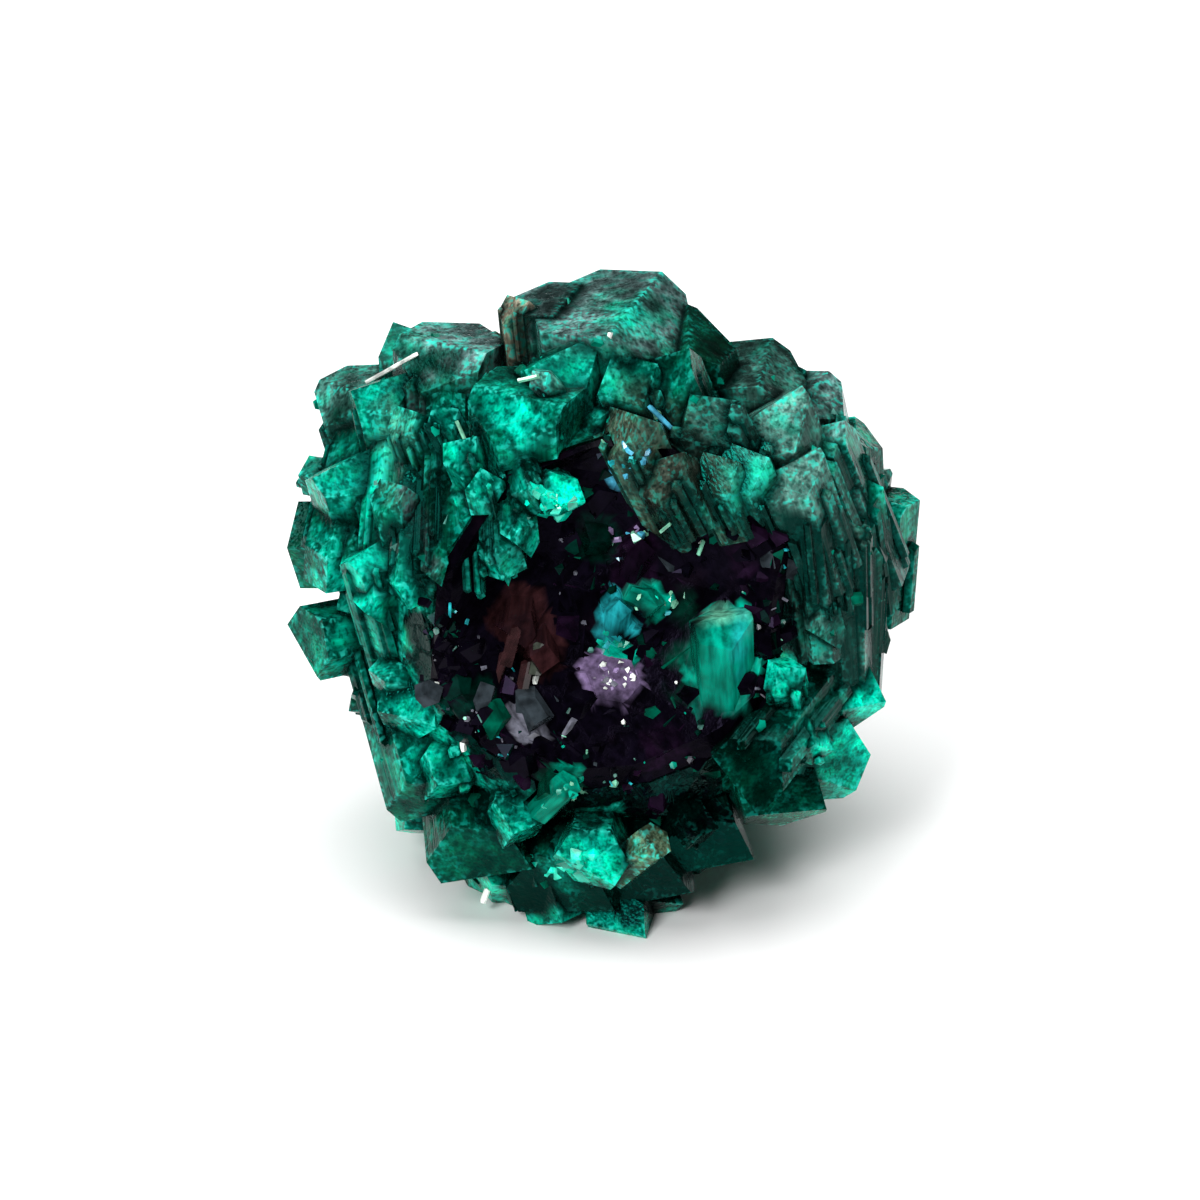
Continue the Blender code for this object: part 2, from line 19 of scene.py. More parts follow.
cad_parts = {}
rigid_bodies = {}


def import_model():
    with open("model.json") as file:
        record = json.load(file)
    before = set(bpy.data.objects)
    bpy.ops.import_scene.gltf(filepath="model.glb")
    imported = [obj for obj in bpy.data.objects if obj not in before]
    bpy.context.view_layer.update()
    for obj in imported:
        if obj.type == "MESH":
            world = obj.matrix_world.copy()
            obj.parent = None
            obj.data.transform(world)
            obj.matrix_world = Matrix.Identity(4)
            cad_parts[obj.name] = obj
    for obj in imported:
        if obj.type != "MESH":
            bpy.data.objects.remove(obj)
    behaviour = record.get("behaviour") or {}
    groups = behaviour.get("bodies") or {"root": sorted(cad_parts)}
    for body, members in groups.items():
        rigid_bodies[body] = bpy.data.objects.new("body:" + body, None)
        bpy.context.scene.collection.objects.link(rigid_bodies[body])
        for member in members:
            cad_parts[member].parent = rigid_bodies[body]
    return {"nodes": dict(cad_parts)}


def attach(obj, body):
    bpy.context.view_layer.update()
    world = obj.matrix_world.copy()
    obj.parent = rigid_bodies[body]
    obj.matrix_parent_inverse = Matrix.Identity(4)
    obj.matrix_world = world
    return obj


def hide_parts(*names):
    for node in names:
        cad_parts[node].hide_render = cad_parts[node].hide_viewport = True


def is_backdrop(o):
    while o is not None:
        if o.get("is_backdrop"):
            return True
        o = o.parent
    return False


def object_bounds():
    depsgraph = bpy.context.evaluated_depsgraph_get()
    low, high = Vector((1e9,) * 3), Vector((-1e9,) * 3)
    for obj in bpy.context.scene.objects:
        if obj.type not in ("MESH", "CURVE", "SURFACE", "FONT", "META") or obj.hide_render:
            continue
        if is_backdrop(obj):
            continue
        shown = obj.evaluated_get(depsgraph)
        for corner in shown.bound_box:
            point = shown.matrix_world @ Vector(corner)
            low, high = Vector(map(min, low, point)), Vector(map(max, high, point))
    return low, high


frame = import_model()
cad_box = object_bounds()
print("solids:", sorted(frame["nodes"]))

# %% [markdown]
# ## Places and directions
# Crystals are laid out as the photograph shows them, from the front and 30 degrees above. A
# place is (right, up, near) in millimetres from the specimen's middle. The alternative, plain
# x, y and z, would make every number hard to check against the picture.

# %% View axes
MM = 0.001
VIEW_ELEVATION = math.radians(30.0)
RIGHT = Vector((1.0, 0.0, 0.0))
UP = Vector((0.0, math.sin(VIEW_ELEVATION), math.cos(VIEW_ELEVATION)))
NEAR = Vector((0.0, -math.cos(VIEW_ELEVATION), math.sin(VIEW_ELEVATION)))
MIDDLE = Vector((-0.217, 0.012, 16.6))


def turned(place):
    """A direction (right, up, near) in the part's own axes."""
    return RIGHT * place[0] + UP * place[1] + NEAR * place[2]


def seen(place):
    """A place (right, up, near) in the part's own frame, in millimetres."""
    return turned(place) + MIDDLE


# %% [markdown]
# ## The camera comes first
# Small crystals are later placed by where the photograph shows them, so the eye point has to be
# known. A long lens from 60 cm keeps the parallel look of the photograph.

# %% Camera
CAMERA_DISTANCE = 600.0
FRAME_WIDTH = 76.0
SENSOR = 36.0
PICTURE_SIZE = 1200
MM_PER_PIXEL = FRAME_WIDTH / PICTURE_SIZE
EYE = MIDDLE + NEAR * CAMERA_DISTANCE

camera_data = bpy.data.cameras.new("camera")
camera_data.sensor_width = SENSOR
camera_data.lens = SENSOR * CAMERA_DISTANCE / FRAME_WIDTH
camera_data.clip_start = 0.01
camera = bpy.data.objects.new("camera", camera_data)
camera.location = EYE * MM
camera.rotation_euler = NEAR.to_track_quat("Z", "Y").to_euler()
bpy.context.scene.collection.objects.link(camera)
bpy.context.scene.camera = camera
print("lens:", round(camera_data.lens), "mm")

# %% [markdown]
# ## Tones
# Every crystal has its own tone, because its thickness, its cracks and the light in it differ.
# The tones are named once, as the eye sees them, and each crystal names the one it has.

# %% Tones
TONES = {
    "glow": "00EEC8",
    "bright": "00C2A2",
    "teal": "00A086",
    "mid": "007862",
    "green": "00604A",
    "dark": "004635",
    "deep": "002019",
    # grey is a painted sheen: the grey that the light above lays on the top faces
    "grey": "6A8A88",
    "moss": "5E887E",
    "slate": "44766C",
    "olive": "465446",
    "brown": "363C34",
    "cream": "C9BFA6",
    "white": "E6ECE6",
    "pale": "7CC9A8",
    "sage": "708B6C",
    "cyan": "24B3BC",
    "sky": "49A8C8",
    "lilac": "86729A",
    "smoke": "5C5D68",
    "ash": "2A3136",
    "rust": "281416",
    "plum": "170A1B",
    "night": "06040B",
}


def linear(hex_colour):
    """A colour written as sRGB hex, as the linear values that a shader works with."""
    channels = [int(hex_colour[k : k + 2], 16) / 255 for k in (0, 2, 4)]
    return [c / 12.92 if c <= 0.04045 else ((c + 0.055) / 1.055) ** 2.4 for c in channels]


TONE_VALUES = {name: np.array(linear(value)) for name, value in TONES.items()}
print(len(TONES), "tones")

# %% [markdown]
# ## The crystals
# The table repeats the solid model's crystals: tip, axis, turn about the axis in degrees, width
# and length in millimetres, how it ends, and the tone. A point of the surface can then be told
# which crystal it is on, and which face of it.

# %% Crystal habits
# Each plane that ends a crystal: its height on the axis as a share of the half width, its
# slope, and the way it faces, in degrees.
RHOMB = [(0.0, 51.0, 30.0), (0.0, 51.0, 150.0), (0.0, 51.0, 270.0)]
FLAT = [(-0.04, 4.0, 50.0), (0.20, 42.0, 210.0)]
OBLIQUE = [(-0.10, 24.0, 95.0), (0.10, 40.0, 250.0)]
CHISEL = [(0.0, 51.0, 30.0), (-0.15, 43.0, 200.0)]

# %% Crystals of the top and the right
CROWN = [
    ((0.8, 18.8, 7.0), (-0.06, 0.90, 0.42), 128, 11.8, 20.0, FLAT, "grey"),
    ((5.0, 16.9, 6.8), (-0.20, 0.87, 0.45), 100, 6.6, 16.0, OBLIQUE, "dark"),
    ((-2.8, 15.6, 10.6), (-0.20, 0.86, 0.46), 34, 5.8, 12.0, OBLIQUE, "bright"),
    ((0.8, 15.4, 11.2), (-0.34, 0.80, 0.49), 20, 5.0, 12.0, RHOMB, "teal"),
    ((3.6, 15.2, 10.6), (-0.36, 0.80, 0.47), 50, 5.0, 14.0, CHISEL, "dark"),
    ((1.2, 11.8, 13.2), (-0.40, 0.78, 0.48), 8, 4.6, 10.0, CHISEL, "olive"),
    ((5.6, 12.8, 11.4), (-0.40, 0.79, 0.46), 28, 5.4, 13.0, RHOMB, "slate"),
    ((3.6, 8.8, 13.6), (-0.42, 0.78, 0.46), 44, 4.4, 5.2, CHISEL, "brown"),
    ((6.4, 9.2, 12.6), (-0.40, 0.78, 0.48), 12, 4.2, 6.0, RHOMB, "olive"),
    ((-5.2, 19.0, 6.4), (-0.10, 0.90, 0.42), 12, 2.8, 8.0, CHISEL, "cream"),
    ((-4.2, 14.2, 13.2), (-0.60, 0.60, 0.53), 12, 1.8, 4.0, RHOMB, "grey"),
    ((-2.8, 19.0, 5.6), (-0.06, 0.90, 0.42), 128, 6.0, 14.0, FLAT, "grey"),
]

RIGHT_SHOULDER = [
    ((9.4, 15.0, 5.2), (-0.12, 0.89, 0.44), 140, 8.0, 15.0, FLAT, "slate"),
    ((12.6, 13.3, 4.6), (-0.20, 0.87, 0.45), 118, 5.8, 14.0, FLAT, "grey"),
    ((9.8, 12.0, 9.8), (-0.34, 0.80, 0.49), 30, 6.8, 12.0, OBLIQUE, "moss"),
    ((13.4, 10.9, 7.4), (-0.34, 0.81, 0.47), 46, 4.8, 12.0, CHISEL, "grey"),
    ((8.0, 9.8, 12.0), (-0.36, 0.80, 0.48), 6, 4.8, 6.4, RHOMB, "slate"),
    ((11.4, 8.6, 11.2), (-0.30, 0.82, 0.48), 24, 5.4, 9.0, OBLIQUE, "moss"),
    ((15.6, 10.8, 3.0), (-0.06, 0.90, 0.42), 150, 4.4, 12.0, FLAT, "mid"),
    ((15.4, 8.2, 6.2), (-0.14, 0.88, 0.46), 20, 4.6, 10.0, RHOMB, "bright"),
    ((16.9, 8.1, 0.6), (0.10, 0.88, 0.46), 40, 3.4, 9.0, OBLIQUE, "moss"),
    ((18.0, 6.6, 1.2), (0.06, 0.90, 0.42), 26, 4.6, 8.4, FLAT, "mid"),
    ((13.0, 6.4, 11.0), (-0.10, 0.90, 0.42), 24, 2.8, 11.0, RHOMB, "slate"),
    ((14.4, 5.8, 9.8), (-0.06, 0.91, 0.41), 6, 2.6, 12.0, CHISEL, "slate"),
    ((15.6, 4.9, 8.4), (-0.02, 0.92, 0.39), 38, 2.8, 11.0, RHOMB, "moss"),
    ((16.5, 3.6, 6.8), (0.02, 0.92, 0.39), 14, 2.6, 10.0, CHISEL, "green"),
    ((17.0, 2.2, 5.0), (0.04, 0.92, 0.39), 50, 2.6, 9.0, RHOMB, "slate"),
    ((17.4, -3.2, 3.4), (0.22, -0.86, 0.46), 12, 2.4, 8.5, CHISEL, "brown"),
    ((16.0, -2.6, 6.4), (0.20, -0.86, 0.47), 32, 2.6, 8.0, RHOMB, "olive"),
    ((14.2, -2.8, 8.8), (0.10, -0.88, 0.46), 12, 2.8, 8.0, CHISEL, "slate"),
]

RIGHT_FOOT = [
    ((15.6, -6.4, 6.2), (0.56, -0.20, 0.80), 15, 6.0, 8.0, OBLIQUE, "bright"),
    ((14.4, -10.6, 5.6), (0.56, -0.36, 0.75), 30, 6.8, 9.0, FLAT, "teal"),
    ((11.6, -13.0, 6.6), (0.30, -0.54, 0.79), 10, 6.0, 9.0, OBLIQUE, "green"),
    ((8.2, -11.8, 10.6), (-0.50, -0.62, 0.60), 24, 5.6, 11.0, CHISEL, "deep"),
    ((11.2, -4.2, 11.2), (-0.10, 0.40, 0.91), 42, 3.2, 6.0, RHOMB, "glow"),
    ((13.4, -9.0, 9.6), (0.20, -0.10, 0.97), 8, 3.2, 5.0, RHOMB, "glow"),
]

# %% Crystals of the left and the foot
LEFT_CREST = [
    ((-9.4, 16.5, 4.8), (0.02, 0.90, 0.43), 30, 7.4, 12.0, FLAT, "grey"),
    ((-10.8, 16.6, 0.8), (-0.04, 0.90, 0.43), 160, 6.8, 12.0, OBLIQUE, "mid"),
    ((-13.8, 14.0, 4.8), (-0.20, 0.87, 0.45), 14, 4.8, 12.0, OBLIQUE, "teal"),
    ((-15.8, 13.9, -0.2), (-0.26, 0.85, 0.46), 8, 5.8, 12.0, FLAT, "slate"),
    ((-6.6, 17.0, 1.8), (0.10, 0.89, 0.45), 36, 3.0, 8.0, RHOMB, "olive"),
    ((-6.6, 14.4, 8.6), (-0.04, 0.88, 0.47), 28, 3.0, 8.0, RHOMB, "slate"),
    ((-4.6, 13.2, 12.0), (-0.04, 0.84, 0.54), 30, 7.6, 8.0, FLAT, "mid"),
    ((-2.2, 6.2, 13.8), (0.50, -0.30, 0.81), 10, 3.2, 5.0, OBLIQUE, "glow"),
]

LEFT_SHEAF = [
    ((-12.2, 12.0, 8.4), (-0.30, 0.84, 0.45), 8, 3.4, 12.0, CHISEL, "bright"),
    ((-10.4, 12.2, 10.0), (-0.40, 0.80, 0.45), 22, 2.8, 11.0, RHOMB, "teal"),
    ((-8.8, 10.0, 11.8), (-0.36, 0.82, 0.45), 40, 3.0, 10.0, CHISEL, "glow"),
    ((-7.4, 8.2, 12.8), (-0.20, 0.86, 0.46), 6, 3.0, 9.0, RHOMB, "teal"),
    ((-16.4, 8.8, 4.4), (-0.24, 0.86, 0.45), 30, 5.0, 12.0, OBLIQUE, "teal"),
    ((-13.0, 7.4, 9.4), (-0.16, 0.88, 0.44), 12, 3.4, 11.0, CHISEL, "mid"),
    ((-14.6, 3.4, 8.4), (-0.24, 0.86, 0.45), 44, 4.0, 9.0, OBLIQUE, "bright"),
    ((-6.0, 1.2, 12.8), (0.04, -0.90, 0.43), 16, 3.2, 12.0, RHOMB, "teal"),
    ((-4.9, 3.0, 13.2), (0.08, -0.90, 0.42), 2, 2.8, 9.0, CHISEL, "bright"),
    ((-8.0, -1.2, 11.8), (0.06, -0.92, 0.39), 26, 2.8, 13.0, RHOMB, "bright"),
    ((-9.8, 0.6, 11.6), (-0.02, -0.92, 0.39), 8, 3.0, 13.0, CHISEL, "dark"),
    ((-11.8, -0.6, 10.4), (-0.04, -0.92, 0.39), 34, 3.2, 12.0, RHOMB, "green"),
    ((-13.8, -1.6, 8.4), (-0.06, -0.92, 0.39), 14, 3.6, 12.0, CHISEL, "glow"),
    ((-17.2, 0.4, 5.0), (-0.20, -0.86, 0.47), 4, 4.4, 12.0, RHOMB, "mid"),
    ((-3.6, 5.4, 13.8), (0.30, -0.70, 0.65), 20, 3.0, 7.0, RHOMB, "teal"),
    ((-19.1, 7.9, 0.8), (-0.88, 0.10, 0.46), 10, 3.0, 6.0, RHOMB, "teal"),
    ((-19.8, 3.3, 1.0), (-0.82, -0.06, 0.57), 32, 6.6, 10.0, RHOMB, "green"),
]

LEFT_FOOT = [
    ((-18.6, -2.8, 3.2), (-0.80, -0.16, 0.58), 20, 5.0, 8.0, FLAT, "mid"),
    ((-10.2, -13.4, 4.6), (0.27, -0.92, 0.28), 30, 6.2, 13.0, OBLIQUE, "mid"),
    ((-12.2, -7.0, 7.6), (-0.30, -0.24, 0.92), 6, 4.6, 7.0, OBLIQUE, "teal"),
    ((-10.2, -11.6, 8.2), (-0.20, -0.40, 0.89), 28, 4.0, 6.0, RHOMB, "bright"),
    # Painted shade: this low crystal is dark for the shade at the foot
    ((-7.4, -17.2, 5.2), (0.10, -0.82, 0.56), 30, 7.0, 10.0, OBLIQUE, "dark"),
    ((-5.4, -14.6, 8.8), (-0.06, -0.50, 0.86), 38, 4.2, 6.0, RHOMB, "teal"),
]

# Painted shade: the deep tones of the front foot darken it towards the floor
FRONT_FOOT = [
    ((-2.4, -19.4, 4.2), (-0.04, -0.84, 0.54), 28, 7.4, 10.0, OBLIQUE, "deep"),
    ((2.6, -18.8, 4.4), (0.10, -0.82, 0.56), 34, 7.0, 10.0, OBLIQUE, "deep"),
    ((6.8, -16.6, 4.8), (0.24, -0.74, 0.63), 20, 6.4, 9.0, OBLIQUE, "deep"),
    ((-0.6, -16.4, 8.2), (-0.10, -0.40, 0.91), 30, 5.0, 6.0, FLAT, "bright"),
    ((3.4, -15.0, 9.2), (0.46, 0.40, 0.79), 10, 2.6, 5.0, FLAT, "sage"),
    ((6.2, -14.8, 8.0), (0.20, -0.40, 0.89), 33, 3.0, 5.0, RHOMB, "deep"),
]

# %% Crystals in the hollow
# Here near is how far the tip stands out from the floor of the hollow.
IN_THE_HOLLOW = [
    ((7.5, -0.9, 4.0), (-0.04, 0.80, 0.60), 18, 4.2, 6.4, OBLIQUE, "teal"),
    ((1.2, 0.0, 3.0), (0.10, 0.70, 0.71), 10, 1.8, 4.4, RHOMB, "cyan"),
    ((3.6, -0.4, 3.2), (0.55, -0.20, 0.81), 26, 2.0, 4.4, RHOMB, "teal"),
    ((0.6, -3.4, 2.8), (-0.20, 0.40, 0.89), 4, 2.2, 3.8, RHOMB, "glow"),
    # Painted reflection: the lilac crystal stands for light off a cleavage
    ((1.0, -5.0, 3.4), (0.20, -0.10, 0.97), 20, 3.2, 4.4, FLAT, "lilac"),
    ((2.6, 3.8, 3.2), (0.20, 0.60, 0.77), 12, 2.2, 4.4, RHOMB, "plum"),
    ((-0.6, 3.6, 3.0), (-0.30, -0.20, 0.93), 30, 2.4, 4.0, RHOMB, "deep"),
    ((1.8, 7.6, 2.6), (0.20, -0.50, 0.84), 8, 2.0, 3.6, RHOMB, "sky"),
    ((-5.4, -2.6, 2.8), (-0.10, -0.80, 0.59), 16, 2.8, 5.4, CHISEL, "rust"),
    ((-3.6, -4.6, 2.6), (0.10, -0.84, 0.53), 36, 2.4, 5.0, RHOMB, "rust"),
    ((-8.4, -6.4, 1.8), (-0.20, -0.30, 0.93), 22, 2.8, 3.0, RHOMB, "deep"),
    ((-2.0, -11.4, 2.4), (0.48, 0.50, 0.72), 18, 2.0, 3.6, FLAT, "mid"),
    ((-3.4, -12.0, 2.0), (-0.40, -0.20, 0.89), 5, 2.4, 3.2, RHOMB, "dark"),
    ((4.0, -9.4, 2.4), (0.16, -0.30, 0.94), 27, 2.6, 3.6, RHOMB, "plum"),
    ((-4.4, -8.4, 2.2), (0.30, -0.60, 0.74), 11, 2.4, 3.6, RHOMB, "smoke"),
    ((6.2, 4.6, 2.2), (0.20, -0.70, 0.68), 2, 2.6, 3.8, CHISEL, "plum"),
    ((9.0, 2.0, 1.8), (0.10, -0.60, 0.79), 24, 2.8, 3.4, RHOMB, "plum"),
]
HOLLOW_CENTRE = (1.6, -4.4, 12.4)
HOLLOW_RADII = (14.0, 15.2, 5.4)


def hollow_floor(across, along):
    """How near the viewer the floor of the hollow lies at a place (right, up) in the view."""
    side = (across - HOLLOW_CENTRE[0]) / HOLLOW_RADII[0]
    rise = (along - HOLLOW_CENTRE[1]) / HOLLOW_RADII[1]
    bulge = math.sqrt(max(0.0, 1.0 - side * side - rise * rise))
    return HOLLOW_CENTRE[2] - HOLLOW_RADII[2] * bulge


# %% [markdown]
# ## Crystals of the sides and the back
# The photograph doesn't show them, so the solid model spreads them by seeded rules. The same
# rules run here, with the same seeds, so that these crystals get their own tones as well.

# %% Seeded crystals
SEED = 11
HEART_RADII = (16.6, 14.6, 16.2)
FOOT_CENTRE = Vector((-1.8, -2.6, -13.4))
FRONT_EDGE = -0.05
BASE_EDGE = -0.84
GOLDEN_TURN = math.pi * (3.0 - math.sqrt(5.0))


def spread_points(count):
    """Points spread evenly over a unit sphere."""
    for k in range(count):
        z = 1.0 - 2.0 * (k + 0.5) / count
        ring = math.sqrt(1.0 - z * z)
        yield Vector((ring * math.cos(k * GOLDEN_TURN), ring * math.sin(k * GOLDEN_TURN), z))


def any_lean(chance):
    return Vector([chance.uniform(-0.5, 0.5) for _ in range(3)])


def on_heart(direction):
    return Vector([d * r for d, r in zip(direction, HEART_RADII)])


def in_hollow(place):
    """True where a place in the part's axes lies in the mouth of the hollow."""
    across = (place.dot(RIGHT) - HOLLOW_CENTRE[0]) / HOLLOW_RADII[0]
    along = (place.dot(UP) - HOLLOW_CENTRE[1]) / HOLLOW_RADII[1]
    return place.dot(NEAR) > 0 and across * across + along * along < 1.0


def cover_crystals():
    chance = random.Random(SEED + 1)
    for point in spread_points(150):
        width = chance.uniform(3.4, 7.0)
        stand = chance.uniform(0.3, 2.0)
        axis = (point + any_lean(chance)).normalized()
        habit = chance.choice([RHOMB, RHOMB, OBLIQUE, FLAT, CHISEL])
        turn = chance.uniform(0, 60)
        if point.dot(NEAR) <= FRONT_EDGE and point.z >= BASE_EDGE:
            yield on_heart(point) + axis * stand, axis, turn, width, 9.0, habit


def fill_crystals():
    chance = random.Random(SEED + 2)
    for point in spread_points(130):
        width = chance.uniform(1.6, 3.2)
        stand = chance.uniform(0.2, 1.0)
        axis = (point + any_lean(chance)).normalized()
        turn = chance.uniform(0, 60)
        ground = on_heart(point)
        if point.dot(NEAR) > FRONT_EDGE and not in_hollow(ground) and point.z >= BASE_EDGE:
            yield ground + axis * stand, axis, turn, width, 5.0, RHOMB


def ring_crystals():
    chance = random.Random(SEED + 3)
    for k in range(19):
        around = math.tau * (k + chance.uniform(-0.3, 0.3)) / 19
        out = Vector((math.cos(around), math.sin(around), 0.0))
        width = chance.uniform(4.2, 6.6)
        reach = chance.uniform(9.4, 11.4)
        height = chance.uniform(-2.8, 3.4)
        axis = out + any_lean(chance)
        habit = chance.choice([RHOMB, OBLIQUE, CHISEL])
        turn = chance.uniform(0, 60)
        tip = FOOT_CENTRE + out * reach + Vector((0.0, 0.0, height))
        yield tip, axis.normalized(), turn, width, 8.0, habit


# %% [markdown]
# ## Which crystal, which face
# Each crystal is the space inside a set of planes. On the surface of the grown-together cluster,
# the crystal whose farthest plane is nearest is the one that the point is on.

# %% Planes of a crystal
def slanting(slope, azimuth):
    """The way a face looks that slopes down from the axis, both angles in degrees."""
    tilt, way = math.radians(slope), math.radians(azimuth)
    return (math.sin(tilt) * math.cos(way), math.sin(tilt) * math.sin(way), math.cos(tilt))


def facing(axis):
    """The turn that takes +Z to the axis and keeps +X to the viewer's right."""
    side = UP if abs(axis.dot(RIGHT)) > 0.9 else RIGHT
    across = (side - axis * side.dot(axis)).normalized()
    return Matrix((across, axis.cross(across), axis)).transposed()


def crystal_planes(tip, axis, turn, width, length, habit, tone, own_tone=True):
    """A crystal as its tip, its own axes and the planes of its faces, in millimetres."""
    own = facing(axis) @ Matrix.Rotation(math.radians(turn), 3, "Z")
    apothem = width / 2 * math.cos(math.radians(30.0))
    normals, offsets = [(0.0, 0.0, -1.0)], [length]
    for k in range(6):
        side = math.radians(60.0 * k)
        normals.append((math.cos(side), math.sin(side), 0.0))
        offsets.append(apothem)
    for height, slope, azimuth in habit:
        normals.append(slanting(slope, azimuth))
        offsets.append(height * width / 2 * math.cos(math.radians(slope)))
    return {
        "tip": np.array(tip),
        "own": np.array(own),
        "normals": np.array(normals),
        "offsets": np.array(offsets),
        "middle": np.array(tip - axis * length / 2),
        "reach": length / 2 + width,
        "width": width,
        "length": length,
        "turn": turn,
        "tone": tone,
        "own tone": own_tone,
    }


def listed(table):
    for tip, axis, turn, width, length, habit, tone in table:
        place = seen(tip)
        yield crystal_planes(place, turned(axis).normalized(), turn, width, length, habit, tone)


cluster_crystals = []
for table in (CROWN, RIGHT_SHOULDER, RIGHT_FOOT, LEFT_CREST, LEFT_SHEAF, LEFT_FOOT, FRONT_FOOT):
    cluster_crystals.extend(listed(table))

tone_chance = random.Random(SEED + 4)
BACK_TONES = ["teal", "teal", "mid", "mid", "green", "green", "dark", "bright", "slate"]
for rule in (cover_crystals(), fill_crystals(), ring_crystals()):
    for tip, axis, turn, width, length, habit in rule:
        tone = tone_chance.choice(BACK_TONES)
        cluster_crystals.append(
            crystal_planes(tip + MIDDLE, axis, turn, width, length, habit, tone, False)
        )

hollow_crystals = []
for (across, along, stand), *rest in IN_THE_HOLLOW:
    entry = ((across, along, hollow_floor(across, along) + stand), *rest)
    hollow_crystals.extend(listed([entry]))
print(len(cluster_crystals), "crystals in the cluster,", len(hollow_crystals), "in the hollow")

# %% [markdown]
# ## A crystal to copy
# Dioptase likes parallel growth: thin prisms run along the sides of a thick one, each a little
# shorter. One such prism is modelled by hand, a cylinder of six sides whose end is cut three
# times at the rhombohedral slope, and then copied wherever it is needed.

# %% Select and activate
def deselect_all():
    for obj in bpy.context.selected_objects:
        obj.select_set(False)


def make_active(obj):
    deselect_all()
    obj.select_set(True)
    bpy.context.view_layer.objects.active = obj


# %% Model the small crystals
def cut_crystal(obj, point, normal):
    """Cuts the end off a crystal in edit mode and closes it with one face."""
    make_active(obj)
    bpy.ops.object.mode_set(mode="EDIT")
    bpy.ops.mesh.select_all(action="SELECT")
    bpy.ops.mesh.bisect(
        plane_co=point, plane_no=normal, use_fill=True, clear_outer=True, clear_inner=False
    )
    bpy.ops.object.mode_set(mode="OBJECT")


def small_crystal(name, width, length, planes):
    """A six-sided prism, 1 unit = 1 mm, whose top is at the origin, ended by the planes."""
    deselect_all()
    middle = (0.0, 0.0, (width - length) / 2)
    bpy.ops.mesh.primitive_cylinder_add(
        vertices=6, radius=width / 2, depth=length + width, location=middle
    )
    bpy.ops.object.transform_apply(location=True, rotation=False, scale=False)
    obj = bpy.context.active_object
    obj.name = name
    for height, slope, azimuth in planes:
        cut_crystal(obj, (0.0, 0.0, height), slanting(slope, azimuth))
    return obj


BLADE_LENGTHS = {"blade": 9.0, "short_blade": 5.0}
SHAPES = {
    "blade": small_crystal("blade", 1.0, BLADE_LENGTHS["blade"], RHOMB),
    "short_blade": small_crystal("short_blade", 1.0, BLADE_LENGTHS["short_blade"], RHOMB),
    "stub": small_crystal("stub", 1.0, 1.2, RHOMB),
    "chip": small_crystal("chip", 1.2, 0.6, [(0.0, 24, 80), (0.06, 40, 230)]),
    "splinter": small_crystal("splinter", 0.5, 3.0, [(0.0, 60, 20), (-0.1, 48, 200)]),
}
for shape in SHAPES.values():
    print(shape.name, len(shape.data.polygons), "faces")


# %% Copy one to its place
def plant(shape, place, axis, turn, size):
    """A copy of a small crystal, with its own mesh, at a place in the part's frame."""
    mesh = SHAPES[shape].data.copy()
    own = facing(axis.normalized()) @ Matrix.Rotation(math.radians(turn), 3, "Z")
    scale = Matrix.Diagonal((*[s * MM for s in size], 1.0))
    mesh.transform(Matrix.Translation(Vector(place) * MM) @ own.to_4x4() @ scale)
    obj = bpy.data.objects.new(shape, mesh)
    bpy.context.scene.collection.objects.link(obj)
    return obj


# %% [markdown]
# ## Parallel growth on the large crystals
# The copies are grown into a merged copy of the CAD solid by a Boolean union, so that the result
# is one closed surface with crisp, flat faces. The manifold solver is used, because the exact
# one leaves open edges where this many crystals cross.

# %% Copy the solids
def copy_of_solid(node, name):
    """A merged copy of a CAD node, which the piece is then worked from."""
    piece = bpy.data.objects.new(name, frame["nodes"][node].data.copy())
    bpy.context.scene.collection.objects.link(piece)
    piece.data.materials.clear()
    make_active(piece)
    bpy.ops.object.mode_set(mode="EDIT")
    bpy.ops.mesh.select_all(action="SELECT")
    bpy.ops.mesh.remove_doubles(threshold=0.002 * MM)
    bpy.ops.object.mode_set(mode="OBJECT")
    return piece


cluster = copy_of_solid("dioptase_cluster", "emerald_cluster")
druse = copy_of_solid("dark_druse", "hollow_druse")


# %% Grow thin prisms along the thick ones
def beside(crystal, chance):
    """Where a thin prism stands along one side of a crystal: tip, axis, turn, width, shape."""
    own = Matrix(crystal["own"])
    axis = own.col[2].normalized()
    radius = crystal["width"] / 2
    drop = radius * chance.uniform(0.3, 2.2)
    room = max(crystal["length"] - drop, 1.0)
    width = radius * chance.uniform(0.22, 0.52)
    shape = "blade" if room > BLADE_LENGTHS["blade"] * width else "short_blade"
    width = min(width, room / BLADE_LENGTHS["short_blade"])
    around = math.radians(60.0 * chance.randrange(6) + chance.uniform(-26.0, 26.0))
    out = own.col[0] * math.cos(around) + own.col[1] * math.sin(around)
    reach = 0.87 * radius + width * chance.uniform(-0.3, 0.15)
    tip = Vector(crystal["tip"]) + out * reach - axis * drop
    turn = crystal["turn"] + chance.uniform(-4.0, 4.0)
    return tip, axis, turn, width, shape


def add_union(piece, others):
    """Unites a piece with a list of closed meshes and removes them."""
    helpers = bpy.data.collections.new("helpers")
    bpy.context.scene.collection.children.link(helpers)
    for obj in others:
        bpy.context.scene.collection.objects.unlink(obj)
        helpers.objects.link(obj)
    make_active(piece)
    union = piece.modifiers.new("union", "BOOLEAN")
    union.operation = "UNION"
    union.solver = "MANIFOLD"
    union.operand_type = "COLLECTION"
    union.collection = helpers
    bpy.ops.object.modifier_apply(modifier=union.name)
    for obj in list(helpers.objects):
        bpy.data.objects.remove(obj, do_unlink=True)
    bpy.data.collections.remove(helpers)


def above_floor(obj):
    """True where no point of a copy is below the flat base, which rests on the floor."""
    return min(vertex.co.z for vertex in obj.data.vertices) > 0.0


